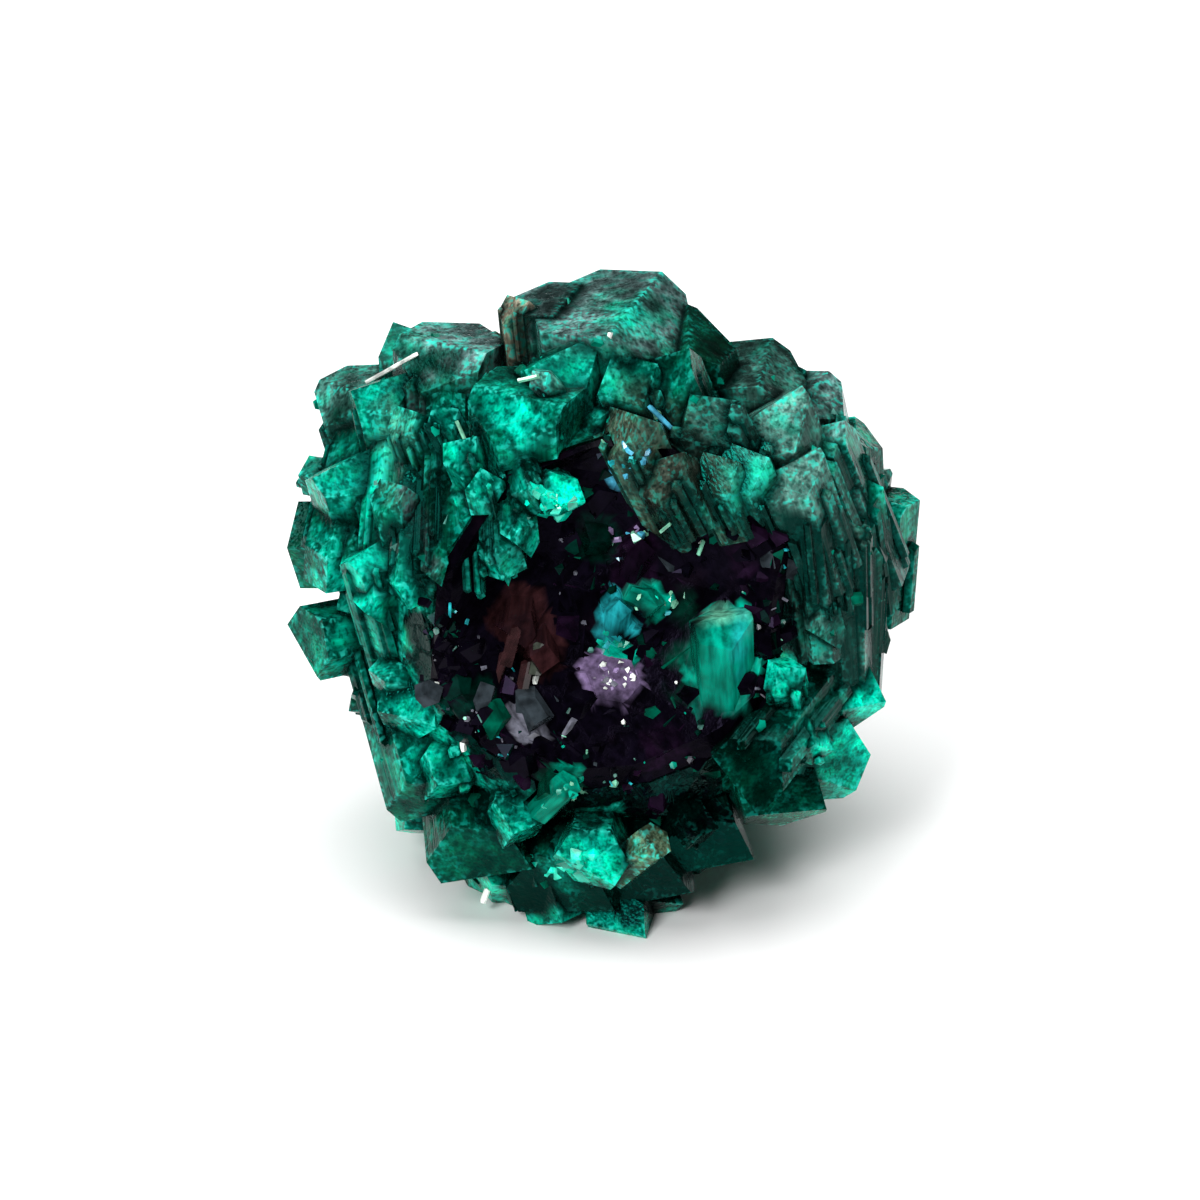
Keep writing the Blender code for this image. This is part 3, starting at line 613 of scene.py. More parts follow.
BLADES_EACH = 9
BLADES_ON_A_THIN_ONE = 2
THIN_WIDTH = 2.4
beside_chance = random.Random(SEED + 7)
blades, thin_crystals = [], []
for crystal in cluster_crystals:
    for _ in range(BLADES_EACH if crystal["width"] > THIN_WIDTH else BLADES_ON_A_THIN_ONE):
        tip, axis, turn, width, shape = beside(crystal, beside_chance)
        blade = plant(shape, tip, axis, turn, (width, width, width))
        if not above_floor(blade):
            bpy.data.objects.remove(blade, do_unlink=True)
            continue
        blades.append(blade)
        length = BLADE_LENGTHS[shape] * width
        thin = crystal_planes(tip, axis, turn, width, length, RHOMB, crystal["tone"])
        thin["own tone"] = crystal["own tone"]
        thin_crystals.append(thin)
add_union(cluster, blades)
cluster_crystals.extend(thin_crystals)
print(len(blades), "thin prisms; the cluster has", len(cluster.data.polygons), "faces")

# %% [markdown]
# ## An even net
# The union has long thin faces. They are cut until no edge is longer than a limit, so that
# colour and relief have points to sit on. Subdividing keeps every crystal edge where it is,
# which a voxel remesh would melt.

# %% Read a mesh as millimetres
def points_of(mesh):
    flat = np.empty(len(mesh.vertices) * 3)
    mesh.vertices.foreach_get("co", flat)
    return flat.reshape(-1, 3) / MM


# %% Cut the long edges
LONGEST_EDGE = 0.75


def cut_long_edges(piece, longest):
    mesh = piece.data
    for _ in range(6):
        points = points_of(mesh)
        pairs = np.empty(len(mesh.edges) * 2, np.int32)
        mesh.edges.foreach_get("vertices", pairs)
        ends = points[pairs.reshape(-1, 2)]
        too_long = np.linalg.norm(ends[:, 0] - ends[:, 1], axis=1) > longest
        if not too_long.any():
            break
        make_active(piece)
        bpy.ops.object.mode_set(mode="EDIT")
        bpy.ops.mesh.select_mode(type="EDGE")
        bpy.ops.mesh.select_all(action="DESELECT")
        bpy.ops.object.mode_set(mode="OBJECT")
        mesh.edges.foreach_set("select", too_long)
        bpy.ops.object.mode_set(mode="EDIT")
        bpy.ops.mesh.subdivide(number_cuts=1)
        bpy.ops.mesh.select_all(action="SELECT")
        bpy.ops.mesh.quads_convert_to_tris()
        bpy.ops.object.mode_set(mode="OBJECT")


cut_long_edges(cluster, LONGEST_EDGE)
cut_long_edges(druse, LONGEST_EDGE)
print("cluster:", len(cluster.data.polygons), "faces; druse:", len(druse.data.polygons))

# %% Find the crystal under each point
FAR = 9.0
GROUND = -1
# A point this far in millimetres from every crystal's face is ground
SKIN = 0.45


def read_crystals(points, crystals):
    """For each point: its crystal, face, distance to an edge and to the next crystal, and its
    place in the crystal's own axes."""
    count = len(points)
    found = {
        "depth": np.full(count, FAR),
        "next": np.full(count, FAR),
        "edge": np.full(count, FAR),
        "owner": np.full(count, GROUND),
        "face": np.zeros(count, int),
        "grain": points.copy(),
    }
    by_height = np.argsort(points[:, 2])
    heights = points[by_height, 2]
    for number, crystal in enumerate(crystals):
        middle, reach = crystal["middle"], crystal["reach"]
        ends = np.searchsorted(heights, (middle[2] - reach, middle[2] + reach))
        rows = by_height[ends[0] : ends[1]]
        offset = points[rows] - middle
        close = rows[(offset * offset).sum(axis=1) < reach**2]
        own = (points[close] - crystal["tip"]) @ crystal["own"]
        over = own @ crystal["normals"].T - crystal["offsets"]
        face = over.argmax(axis=1)
        ranked = np.sort(over, axis=1)
        depth = ranked[:, -1]
        nearer = np.abs(depth) < np.abs(found["depth"][close])
        past = np.where(nearer, found["depth"][close], depth)
        found["next"][close] = np.minimum(found["next"][close], np.abs(past))
        rows = close[nearer]
        found["depth"][rows] = depth[nearer]
        found["edge"][rows] = (ranked[:, -1] - ranked[:, -2])[nearer]
        found["owner"][rows] = number
        found["face"][rows] = face[nearer]
        found["grain"][rows] = own[nearer]
    found["owner"][np.abs(found["depth"]) > SKIN] = GROUND
    return found


# %% Read each corner of each face
TOWARDS_MIDDLE = 0.06


def corners_of(mesh):
    """Each face's corners, moved a little towards its middle, so that a corner belongs to its
    own face and not to the one beyond the edge, and the face's normal at each corner."""
    index = np.empty(len(mesh.loops), np.int32)
    mesh.loops.foreach_get("vertex_index", index)
    sizes = np.empty(len(mesh.polygons), np.int32)
    mesh.polygons.foreach_get("loop_total", sizes)
    middles = np.empty(len(mesh.polygons) * 3)
    mesh.polygons.foreach_get("center", middles)
    normals = np.empty(len(mesh.polygons) * 3)
    mesh.polygons.foreach_get("normal", normals)
    middles = np.repeat(middles.reshape(-1, 3) / MM, sizes, axis=0)
    corners = points_of(mesh)[index]
    corners += (middles - corners) * TOWARDS_MIDDLE
    return corners, np.repeat(normals.reshape(-1, 3), sizes, axis=0)


cluster_map = read_crystals(corners_of(cluster.data)[0], cluster_crystals)
druse_map = read_crystals(corners_of(druse.data)[0], hollow_crystals)
share = (cluster_map["owner"] == GROUND).mean()
print("share of the cluster's surface between crystals:", round(float(share), 2))

# %% [markdown]
# ## Colour zones
# The tone of each crystal goes into the mesh as an attribute, lighter or darker by face, because
# each face shows a different depth of crystal. Between the crystals the ground is green at the
# sides and nearly black in and round the hollow: the dark crust, and painted shade on the faces
# that look into the hollow. Some zones are then laid over it, as named patches: painted light
# where it comes back out of a cleavage, a painted grey sheen on the top, painted shade low on the
# foot, and the dark crust where it creeps up.

# %% Patches of tone
# Each patch: right, up, half width, half height, lean in degrees, tone, strength.
PATCHES = [
    # Painted sheen: the grey patch on the top of the crown
    (-0.4, 17.4, 3.0, 2.0, 0, "grey", 0.8),
    (1.0, 14.6, 4.2, 1.1, -8, "bright", 0.8),
    (-1.0, 14.0, 2.0, 1.6, 0, "bright", 0.6),
    (2.6, 12.6, 2.6, 1.4, -40, "olive", 0.7),
    (4.8, 14.8, 1.6, 2.6, 12, "green", 0.6),
    (5.6, 9.6, 3.4, 2.0, -42, "brown", 0.5),
    (-5.2, 11.4, 3.2, 1.0, -38, "glow", 0.8),
    (-2.2, 10.2, 1.8, 2.6, 0, "dark", 0.7),
    (-10.6, 10.0, 3.4, 1.6, 60, "glow", 0.4),
    (-16.6, 11.0, 1.6, 2.6, 8, "dark", 0.6),
    (-10.2, 13.9, 3.0, 1.6, 0, "dark", 0.95),
    (-12.8, 16.4, 1.8, 1.7, 0, "mid", 0.85),
    (-12.6, 8.6, 1.4, 3.4, 6, "pale", 0.35),
    (-14.8, 0.4, 2.6, 2.6, 0, "glow", 0.95),
    (-11.6, 7.4, 1.6, 1.6, 0, "dark", 0.8),
    (-11.4, 3.4, 2.2, 2.6, 0, "dark", 0.65),
    (-11.6, 4.8, 0.7, 2.6, 14, "smoke", 0.7),
    (-7.4, 5.4, 1.8, 3.6, 10, "mid", 0.5),
    (-11.0, -9.2, 1.0, 1.4, 0, "glow", 0.7),
    (-13.4, -6.4, 2.0, 2.2, 0, "teal", 0.5),
    (12.0, 12.4, 2.6, 2.2, -30, "moss", 0.5),
    (9.6, 7.6, 1.4, 1.2, 0, "glow", 0.6),
    (8.4, 5.9, 1.6, 1.0, 0, "bright", 0.6),
    (18.4, 0.9, 1.5, 1.7, 0, "deep", 0.9),
    (-1.2, -17.0, 2.4, 1.2, 0, "bright", 0.5),
    (12.8, -9.6, 2.0, 1.0, 30, "bright", 0.5),
    (1.7, 18.0, 1.8, 1.5, 0, "teal", 0.9),
    (15.8, 9.2, 1.6, 2.4, 0, "teal", 0.95),
    (18.4, 4.2, 1.4, 2.0, 0, "teal", 0.8),
    (14.9, -7.8, 2.0, 2.2, 0, "glow", 0.9),
    (11.3, 2.4, 1.9, 3.6, 0, "night", 0.9),
    # Painted shade: the night, deep and dark patches from here on darken the foot and lower right
    (-2.6, -13.0, 3.2, 1.6, -20, "night", 0.9),
    (5.2, -13.6, 3.6, 2.0, 10, "night", 0.9),
    (-7.6, -13.4, 1.6, 0.8, -40, "deep", 0.7),
    (4.6, -17.6, 3.4, 1.6, 0, "night", 0.6),
    (8.0, -14.4, 2.4, 1.8, 20, "night", 0.7),
    (10.6, -7.6, 2.2, 1.8, -40, "deep", 0.9),
    (9.6, -11.4, 2.2, 1.6, -40, "dark", 0.6),
]

# The same on the crystals that stand in the hollow
HOLLOW_PATCHES = [
    (5.6, -3.4, 1.0, 3.0, 0, "dark", 0.9),
    # Painted highlight: a pale patch at the top of the large teal crystal
    (7.7, -1.0, 1.2, 0.5, 0, "pale", 0.7),
    (7.4, -5.4, 1.4, 1.0, 0, "mid", 0.6),
    (8.8, -2.6, 0.5, 1.8, 0, "cyan", 0.5),
    (7.0, -8.0, 3.4, 1.6, 0, "night", 1.0),
    (2.5, -0.6, 0.7, 1.8, 20, "night", 1.0),
    (1.7, -2.3, 1.8, 0.6, 0, "night", 1.0),
    (4.6, -2.0, 1.8, 0.9, 20, "night", 1.0),
    (0.8, -7.2, 2.8, 1.0, 0, "night", 1.0),
]

# %% The dark zone
# Its outline, as columns and rows of the photograph
DARK_OUTLINE = [
    (592, 425), (584, 470), (545, 508), (527, 545), (522, 592), (490, 604), (450, 588),
    (412, 602), (404, 655), (415, 722), (432, 762), (470, 792), (500, 832), (530, 868),
    (560, 905), (640, 925), (700, 882), (752, 836), (792, 800), (815, 722), (806, 655),
    (812, 606), (800, 556), (790, 500), (742, 506), (700, 512), (676, 520), (650, 505),
    (645, 462), (628, 436),
]


def in_picture(points):
    """Where the camera sees points: columns and rows of the photograph, and how near."""
    offset = points - np.array(MIDDLE)
    near = offset @ np.array(NEAR)
    scale = CAMERA_DISTANCE / (CAMERA_DISTANCE - near) / MM_PER_PIXEL
    columns = PICTURE_SIZE / 2 + offset @ np.array(RIGHT) * scale
    rows = PICTURE_SIZE / 2 - offset @ np.array(UP) * scale
    return columns, rows, near


def depth_inside(columns, rows, outline):
    """How far inside an outline a pixel lies, in pixels, and below zero outside it."""
    inside = np.zeros(len(columns), bool)
    nearest = np.full(len(columns), np.inf)
    for (x0, y0), (x1, y1) in zip(outline, outline[1:] + outline[:1]):
        if y0 != y1:
            crosses = (y0 > rows) != (y1 > rows)
            inside ^= crosses & (columns < x0 + (rows - y0) * (x1 - x0) / (y1 - y0))
        dx, dy = x1 - x0, y1 - y0
        share = ((columns - x0) * dx + (rows - y0) * dy) / (dx * dx + dy * dy)
        share = np.clip(share, 0.0, 1.0)
        nearest = np.minimum(nearest, np.hypot(columns - x0 - share * dx, rows - y0 - share * dy))
    return np.where(inside, nearest, -nearest)


def wobble(points, size, offset=0.0):
    """A smooth random value at each point, with waves of about this size in millimetres."""
    shift = Vector((offset, 0.0, 0.0))
    return np.array([noise.noise(Vector(p) / size + shift) for p in points])


RAGGED_BY = 26.0
SOFT_OVER = 10.0


def dark_share(points):
    """1 in and round the hollow, falling to 0 at its ragged edge: the dark crust and painted
    shade.
    """
    columns, rows, near = in_picture(points)
    depth = depth_inside(columns, rows, DARK_OUTLINE) + RAGGED_BY * wobble(points, 1.6)
    return np.clip(depth / SOFT_OVER + 0.5, 0.0, 1.0) * (near > 0)


# %% Lay the tones
RAGGED_PATCH_SIZE = 1.1
PATCH_OFFSET = 5.0


def lay_patches(colour, patches, points, normals):
    """Lays each patch over the colours, with a soft and ragged edge."""
    columns, rows, near = in_picture(points)
    across = (columns - PICTURE_SIZE / 2) * MM_PER_PIXEL
    along = (PICTURE_SIZE / 2 - rows) * MM_PER_PIXEL
    ragged = wobble(points, RAGGED_PATCH_SIZE, PATCH_OFFSET)
    front = (near > 0) & (normals @ np.array(NEAR) > -0.1)
    for right, up, half_width, half_height, lean, tone, strength in patches:
        turn = math.radians(lean)
        x, y = across - right, along - up
        along_it = (x * math.cos(turn) + y * math.sin(turn)) / half_width
        over_it = (y * math.cos(turn) - x * math.sin(turn)) / half_height
        inside = np.clip(1.4 - np.hypot(along_it, over_it) + 0.9 * ragged, 0.0, 1.0)
        weight = (inside * strength * front)[:, None]
        colour[:] = colour * (1 - weight) + TONE_VALUES[tone] * weight


def face_shade(found):
    """Lighter or darker by face: each face of each crystal draws one value."""
    key = (found["owner"] + 1) * 16 + found["face"]
    draws = np.random.default_rng(SEED).uniform(0.45, 1.4, int(key.max()) + 1)
    return draws[key]


def tone_colours(mesh, found, crystals, ground, patches):
    points, normals = corners_of(mesh)
    palette = np.array([TONE_VALUES[c["tone"]] for c in crystals] + [TONE_VALUES[ground]])
    colour = palette[found["owner"]] * face_shade(found)[:, None]
    if ground != "night":
        keeps = np.array([c["own tone"] for c in crystals] + [False])[found["owner"]]
        dark = dark_share(points) * ~keeps
        colour = colour * (1 - dark[:, None]) + TONE_VALUES["night"] * dark[:, None]
    lay_patches(colour, patches, points, normals)
    return colour


# %% Write the attributes
def write(mesh, name, kind, field, values):
    """Writes one attribute, with a value at each corner of each face."""
    attribute = mesh.attributes.new(name, kind, "CORNER")
    attribute.data.foreach_set(field, np.asarray(values, np.float32).ravel())


def write_colour(mesh, name, colour):
    values = np.column_stack((colour, np.ones(len(colour))))
    write(mesh, name, "FLOAT_COLOR", "color", values)


EDGE_WIDTH = 0.30
CREVICE_SHADE_WIDTH = 0.7


def dress(mesh, found, crystals, ground, patches):
    write_colour(mesh, "tone", tone_colours(mesh, found, crystals, ground, patches))
    on_crystal = found["owner"] != GROUND
    edge = np.clip(1.0 - found["edge"] / EDGE_WIDTH, 0, 1) * on_crystal
    write(mesh, "edge", "FLOAT", "value", edge)
    # Painted shade in the crevices between crystals, which also gives their dark joints
    crevice_shade = np.clip(1.0 - found["next"] / CREVICE_SHADE_WIDTH, 0, 1)
    write(mesh, "crevice_shade", "FLOAT", "value", crevice_shade)
    write(mesh, "grain", "FLOAT_VECTOR", "vector", found["grain"])


dress(cluster.data, cluster_map, cluster_crystals, "green", PATCHES)
# The druse's night ground: the dark crust, and painted shade in the recess
dress(druse.data, druse_map, hollow_crystals, "night", HOLLOW_PATCHES)
print("attributes:", [a.name for a in cluster.data.attributes if not a.name.startswith(".")])

# %% [markdown]
# ## Small crystals
# Hundreds of crystals from a third of a millimetre to two millimetres fill the ground and line
# the hollow. They are copies of the same few hand-made shapes, each with a tone of its own.

# %% Copies with a tone
def plant_toned(shape, place, axis, turn, size, tone):
    obj = plant(shape, place, axis, turn, size)
    write_colour(obj.data, "tone", np.tile(TONE_VALUES[tone], (len(obj.data.loops), 1)))
    return obj


def join(name, copies):
    deselect_all()
    for obj in copies:
        obj.select_set(True)
    bpy.context.view_layer.objects.active = copies[0]
    bpy.ops.object.join()
    copies[0].name = name
    return copies[0]


def pick_faces(mesh, owners, allowed, count, chance):
    """Faces drawn at random among those that are allowed, on the owners that are allowed."""
    chosen = []
    for _ in range(count * 60):
        polygon = mesh.polygons[chance.randrange(len(mesh.polygons))]
        if not owners[polygon.loop_start]:
            continue
        if allowed(polygon.center / MM, polygon.normal):
            chosen.append((polygon.center / MM, polygon.normal.copy()))
        if len(chosen) == count:
            break
    return chosen


# %% [markdown]
# ## The crust of the hollow
# Tiny dark crystals stand at every angle on the floor of the hollow and on the band below it.
# Their flat faces catch the light one at a time, which makes the crust glitter.

# %% Crust crystals
# Where bright chips stand in the crust: column, row and radius in the photograph
BRIGHT_SPOTS = [(615, 678, 34), (610, 640, 22), (658, 602, 26), (628, 460, 24), (570, 788, 32)]


def in_dark_zone(place, normal):
    columns, rows, near = in_picture(np.array([place]))
    depth = depth_inside(columns, rows, DARK_OUTLINE)[0]
    for column, row, radius in BRIGHT_SPOTS:
        if math.hypot(columns[0] - column, rows[0] - row) < radius:
            return False
    return near[0] > 0 and normal.dot(NEAR) > 0.1 and depth > 8.0


CRUST_TONES = ["night"] * 14 + ["plum"] * 3 + ["deep"] * 4 + ["dark"] * 2 + ["ash"]
crust_chance = random.Random(SEED + 5)
crust = []
open_ground = druse_map["owner"] == GROUND
own_tones = np.array([c["own tone"] for c in cluster_crystals] + [False])
stained = ~own_tones[cluster_map["owner"]]
for mesh, owners, count in ((druse.data, open_ground, 420), (cluster.data, stained, 260)):
    for place, normal in pick_faces(mesh, owners, in_dark_zone, count, crust_chance):
        axis = normal + any_lean(crust_chance) * 1.3
        size = crust_chance.uniform(0.35, 1.0) ** 2 * 2.2
        long = size * crust_chance.uniform(0.7, 1.4)
        shape = crust_chance.choice(["stub", "stub", "chip"])
        turn = crust_chance.uniform(0, 360)
        tone = crust_chance.choice(CRUST_TONES)
        crust.append(plant_toned(shape, place, axis, turn, (size, size, long), tone))
crust_piece = join("hollow_crust", crust)
print("crust:", len(crust_piece.data.polygons), "faces")

# %% [markdown]
# ## Green grains between the large crystals
# Small green crystals fill the gaps in front and at the sides, which makes the ground granular
# as on the real specimen. They keep to the middle and dark greens, so that none stands out.

# %% Green grains
GRAIN_TONES = ["slate", "mid", "mid", "green", "green", "dark"]


def on_green(place, normal):
    return not in_dark_zone(place, normal) and place.z > 1.5


grain_chance = random.Random(SEED + 6)
grains = []
everywhere = np.ones(len(cluster.data.loops), bool)
for place, normal in pick_faces(cluster.data, everywhere, on_green, 200, grain_chance):
    axis = normal + any_lean(grain_chance)
    size = grain_chance.uniform(0.3, 0.9)
    turn = grain_chance.uniform(0, 360)
    shape = grain_chance.choice(["stub", "chip", "chip"])
    tone = grain_chance.choice(GRAIN_TONES)
    grains.append(plant_toned(shape, place, axis, turn, (size, size, size), tone))
grain_piece = join("green_grains", grains)
print("grains:", len(grain_piece.data.polygons), "faces")

# %% [markdown]
# ## Bright chips where the photograph shows them
# White slivers, cyan chips and a lilac glittering patch stand out of the dark crust. The white
# and pale ones are painted glints, and the lilac patch is a painted reflection. Each is
# placed by the pixel it has in the photograph: a ray from the eye finds the surface there, and
# the chip is planted on it.

# %% Find the surface under a pixel
def under_pixel(column, row):
    """The surface point and normal that a pixel of the photograph looks at, in millimetres."""
    half = PICTURE_SIZE / 2
    place = seen(((column - half) * MM_PER_PIXEL, (half - row) * MM_PER_PIXEL, 0.0))
    ray = (place - EYE).normalized()
    hits = []
    for piece in (cluster, druse):
        found, point, normal, _ = piece.ray_cast(EYE * MM, ray)
        if found:
            hits.append(((point / MM - EYE).length, point / MM, normal))
    return min(hits, key=lambda hit: hit[0])[1:] if hits else (None, None)


# %% Plant the bright chips
# Each: shape, column, row, lean in the picture in degrees, width, thickness, length, tone.
CHIPS = [
    ("splinter", 704, 539, 70, 0.6, 0.4, 0.36, "pale"),
    ("splinter", 671, 523, 40, 0.7, 0.4, 0.30, "pale"),
    ("splinter", 622, 539, 10, 1.2, 0.6, 0.40, "lilac"),
    # Painted highlights: white and pale slivers lying where light glints on an edge
    ("splinter", 419, 353, 29, 0.6, 0.5, 1.30, "white"),
    ("splinter", 456, 420, 114, 0.6, 0.5, 1.20, "pale"),
    ("splinter", 648, 405, 135, 0.7, 0.5, 0.80, "sky"),
    ("chip", 641, 537, 20, 0.9, 0.9, 0.8, "pale"),
    ("splinter", 575, 718, 60, 1.6, 0.8, 0.70, "smoke"),
    ("splinter", 540, 732, 30, 1.6, 0.8, 0.60, "smoke"),
    ("chip", 466, 746, 10, 0.6, 0.6, 0.5, "white"),
    ("chip", 538, 680, 0, 0.5, 0.5, 0.5, "white"),
    ("splinter", 488, 888, 70, 1.0, 0.6, 0.34, "white"),
    ("splinter", 540, 376, 12, 1.6, 0.6, 0.46, "pale"),
    ("chip", 612, 336, 0, 0.4, 0.4, 0.4, "white"),
    ("splinter", 660, 418, -45, 1.6, 0.7, 0.60, "pale"),
    ("splinter", 540, 642, 80, 1.8, 0.7, 0.70, "brown"),
    ("splinter", 517, 625, 75, 1.8, 0.7, 0.90, "rust"),
    ("splinter", 505, 650, 72, 1.8, 0.7, 0.90, "rust"),
    ("splinter", 528, 660, 78, 1.8, 0.7, 0.80, "rust"),
]
CHIP_LIFT = 0.15


def plant_chip(shape, column, row, lean, width, thickness, length, tone):
    place, normal = under_pixel(column, row)
    turn = math.radians(lean)
    along = RIGHT * math.cos(turn) + UP * math.sin(turn) + NEAR * 0.2
    lifted = place + NEAR * CHIP_LIFT
    return plant_toned(shape, lifted, along, lean * 7, (width, thickness, length), tone)


bright_chips = [plant_chip(*entry) for entry in CHIPS]


# %% Sprinkle small chips
def sprinkle(tones, column, row, spread, count, size, seed):
    """A patch of small chips round a pixel of the photograph."""
    chance = random.Random(seed)
    for _ in range(count):
        at = (column + chance.gauss(0, spread), row + chance.gauss(0, spread * 0.6))
        place, normal = under_pixel(*at)
        if place is None:
            continue
        axis = normal + any_lean(chance) * 1.4
        own = size * chance.uniform(0.6, 1.3)
        tone = chance.choice(tones)
        shape = chance.choice(["chip", "stub"])
        size_now = (own, own, own * 0.8)
        yield plant_toned(shape, place, axis, chance.uniform(0, 360), size_now, tone)


# Each: tones, column, row, spread in pixels, count, size in millimetres, seed.
SPRINKLES = [
    # Painted reflection: lilac and white chips, light off a cleavage in the hollow
    (["lilac", "white", "white", "smoke"], 615, 677, 13, 40, 0.40, 21),
    (["cyan", "glow", "teal"], 608, 643, 9, 14, 0.50, 22),
    (["pale", "lilac", "sky"], 630, 538, 12, 14, 0.6, 28),
    (["cyan", "glow", "pale"], 660, 599, 12, 16, 0.45, 23),
    (["sky", "cyan", "sky"], 628, 460, 11, 14, 0.55, 24),
    (["teal", "mid", "pale"], 570, 788, 16, 14, 0.6, 25),
    (["teal", "glow"], 572, 866, 15, 18, 1.0, 26),
    (["glow", "bright"], 555, 505, 14, 16, 0.9, 27),
]
for entry in SPRINKLES:
    bright_chips.extend(sprinkle(*entry))
print(len(bright_chips), "chips where the photograph shows them")

# %% Painted glints all over the crust: pale chips
glint_chance = random.Random(SEED + 8)
for place, normal in pick_faces(druse.data, open_ground, in_dark_zone, 84, glint_chance):
    axis = normal + any_lean(glint_chance) * 1.4
    size = glint_chance.uniform(0.14, 0.42)
    lifted = place + normal * glint_chance.uniform(0.1, 0.5)
    turn = glint_chance.uniform(0, 360)
    tone = glint_chance.choice(["white", "pale", "teal", "smoke", "smoke", "slate", "cyan"])
    shape = glint_chance.choice(["chip", "splinter", "splinter"])
    bright_chips.append(plant_toned(shape, lifted, axis, turn, (size, size, size), tone))
bright_piece = join("bright_chips", bright_chips)
print("bright chips:", len(bright_piece.data.polygons), "faces")

for shape in SHAPES.values():
    bpy.data.objects.remove(shape, do_unlink=True)

# %% [markdown]
# ## The dioptase finish
# Dioptase is a glassy silicate with an index of refraction of about 1.67, deep green because it
# takes the red out of light within a millimetre or two. The surface lets part of the light in
# (transmission) and the volume absorbs it. The rest is scattered by cracks just under the
# surface, which is the colour that the tones give, with painted sheen, shade and glints in it.

# %% A helper that adds a node
def add_node(tree, kind, inputs=(), output=0, **properties):
    """Adds a node with its properties. Its inputs are given in order, or by name or number, as
    values or as outputs of other nodes. Gives back one of its own outputs."""
    node = tree.nodes.new(kind)
    for name, value in properties.items():
        setattr(node, name, value)
    for name, source in inputs.items() if isinstance(inputs, dict) else enumerate(inputs):
        if isinstance(source, bpy.types.NodeSocket):
            tree.links.new(source, node.inputs[name])
        else:
            node.inputs[name].default_value = source
    return node.outputs[output]


def new_finish(name):
    material = bpy.data.materials.new(name)
    material.use_nodes = True
    return material, material.node_tree, material.node_tree.nodes["Principled BSDF"]


def colour_of(hex_colour):
    return (*linear(hex_colour), 1.0)


# A Mix node has a set of sockets for each kind of value. These are the ones for colours.
FACTOR, UNDER, OVER, MIXED = 0, 6, 7, 2
COVER = {"data_type": "RGBA", "blend_type": "MIX"}
MULTIPLY = {"data_type": "RGBA", "blend_type": "MULTIPLY"}

# The clouds of a noise texture are about this share of its unit across.
CLOUD = 0.6

# %% Patterns in the dioptase
# The inputs of a Map Range node, in order: the value, from low, from high, to low, to high.


def dioptase_patterns(tree):
    """Clouds, mottle, specks, veils, growth lines and cracks, each as one value."""
    place = add_node(tree, "ShaderNodeTexCoord", output="Object")
    grain = add_node(tree, "ShaderNodeAttribute", output="Vector", attribute_name="grain")
    patterns = []

    # Clouds in the crystal, a mottle and fine specks: size in millimetres, and detail
    for size, detail in ((2.0, 4.0), (0.80, 3.0), (0.22, 1.0)):
        settings = {"Vector": place, "Scale": CLOUD / (size * MM), "Detail": detail}
        patterns.append(add_node(tree, "ShaderNodeTexNoise", settings))

    # Feathery veils and fine growth lines that run along it: width and length in millimetres
    for across, along, detail in ((0.42, 3.4, 3.0), (0.10, 1.6, 1.0)):
        stretch = {"Vector": grain, "Scale": (CLOUD / across, CLOUD / across, CLOUD / along)}
        stretched = add_node(tree, "ShaderNodeMapping", stretch)
        settings = {"Vector": stretched, "Scale": 1.0, "Detail": detail}
        patterns.append(add_node(tree, "ShaderNodeTexNoise", settings))

    # Cracks cross the crystal, on a net of 2.6 mm that is bent by a slow noise
    settings = {"Vector": place, "Scale": CLOUD / (2.0 * MM), "Detail": 1.0}
    bend = add_node(tree, "ShaderNodeTexNoise", settings)
    layers = {FACTOR: 0.002, UNDER: place, OVER: bend}
    bent = add_node(tree, "ShaderNodeMix", layers, MIXED, **COVER)
    net = {"Vector": bent, "Scale": 1.0 / (2.6 * MM)}
    cracks = add_node(tree, "ShaderNodeTexVoronoi", net, "Distance", feature="DISTANCE_TO_EDGE")
    return (*patterns, cracks)


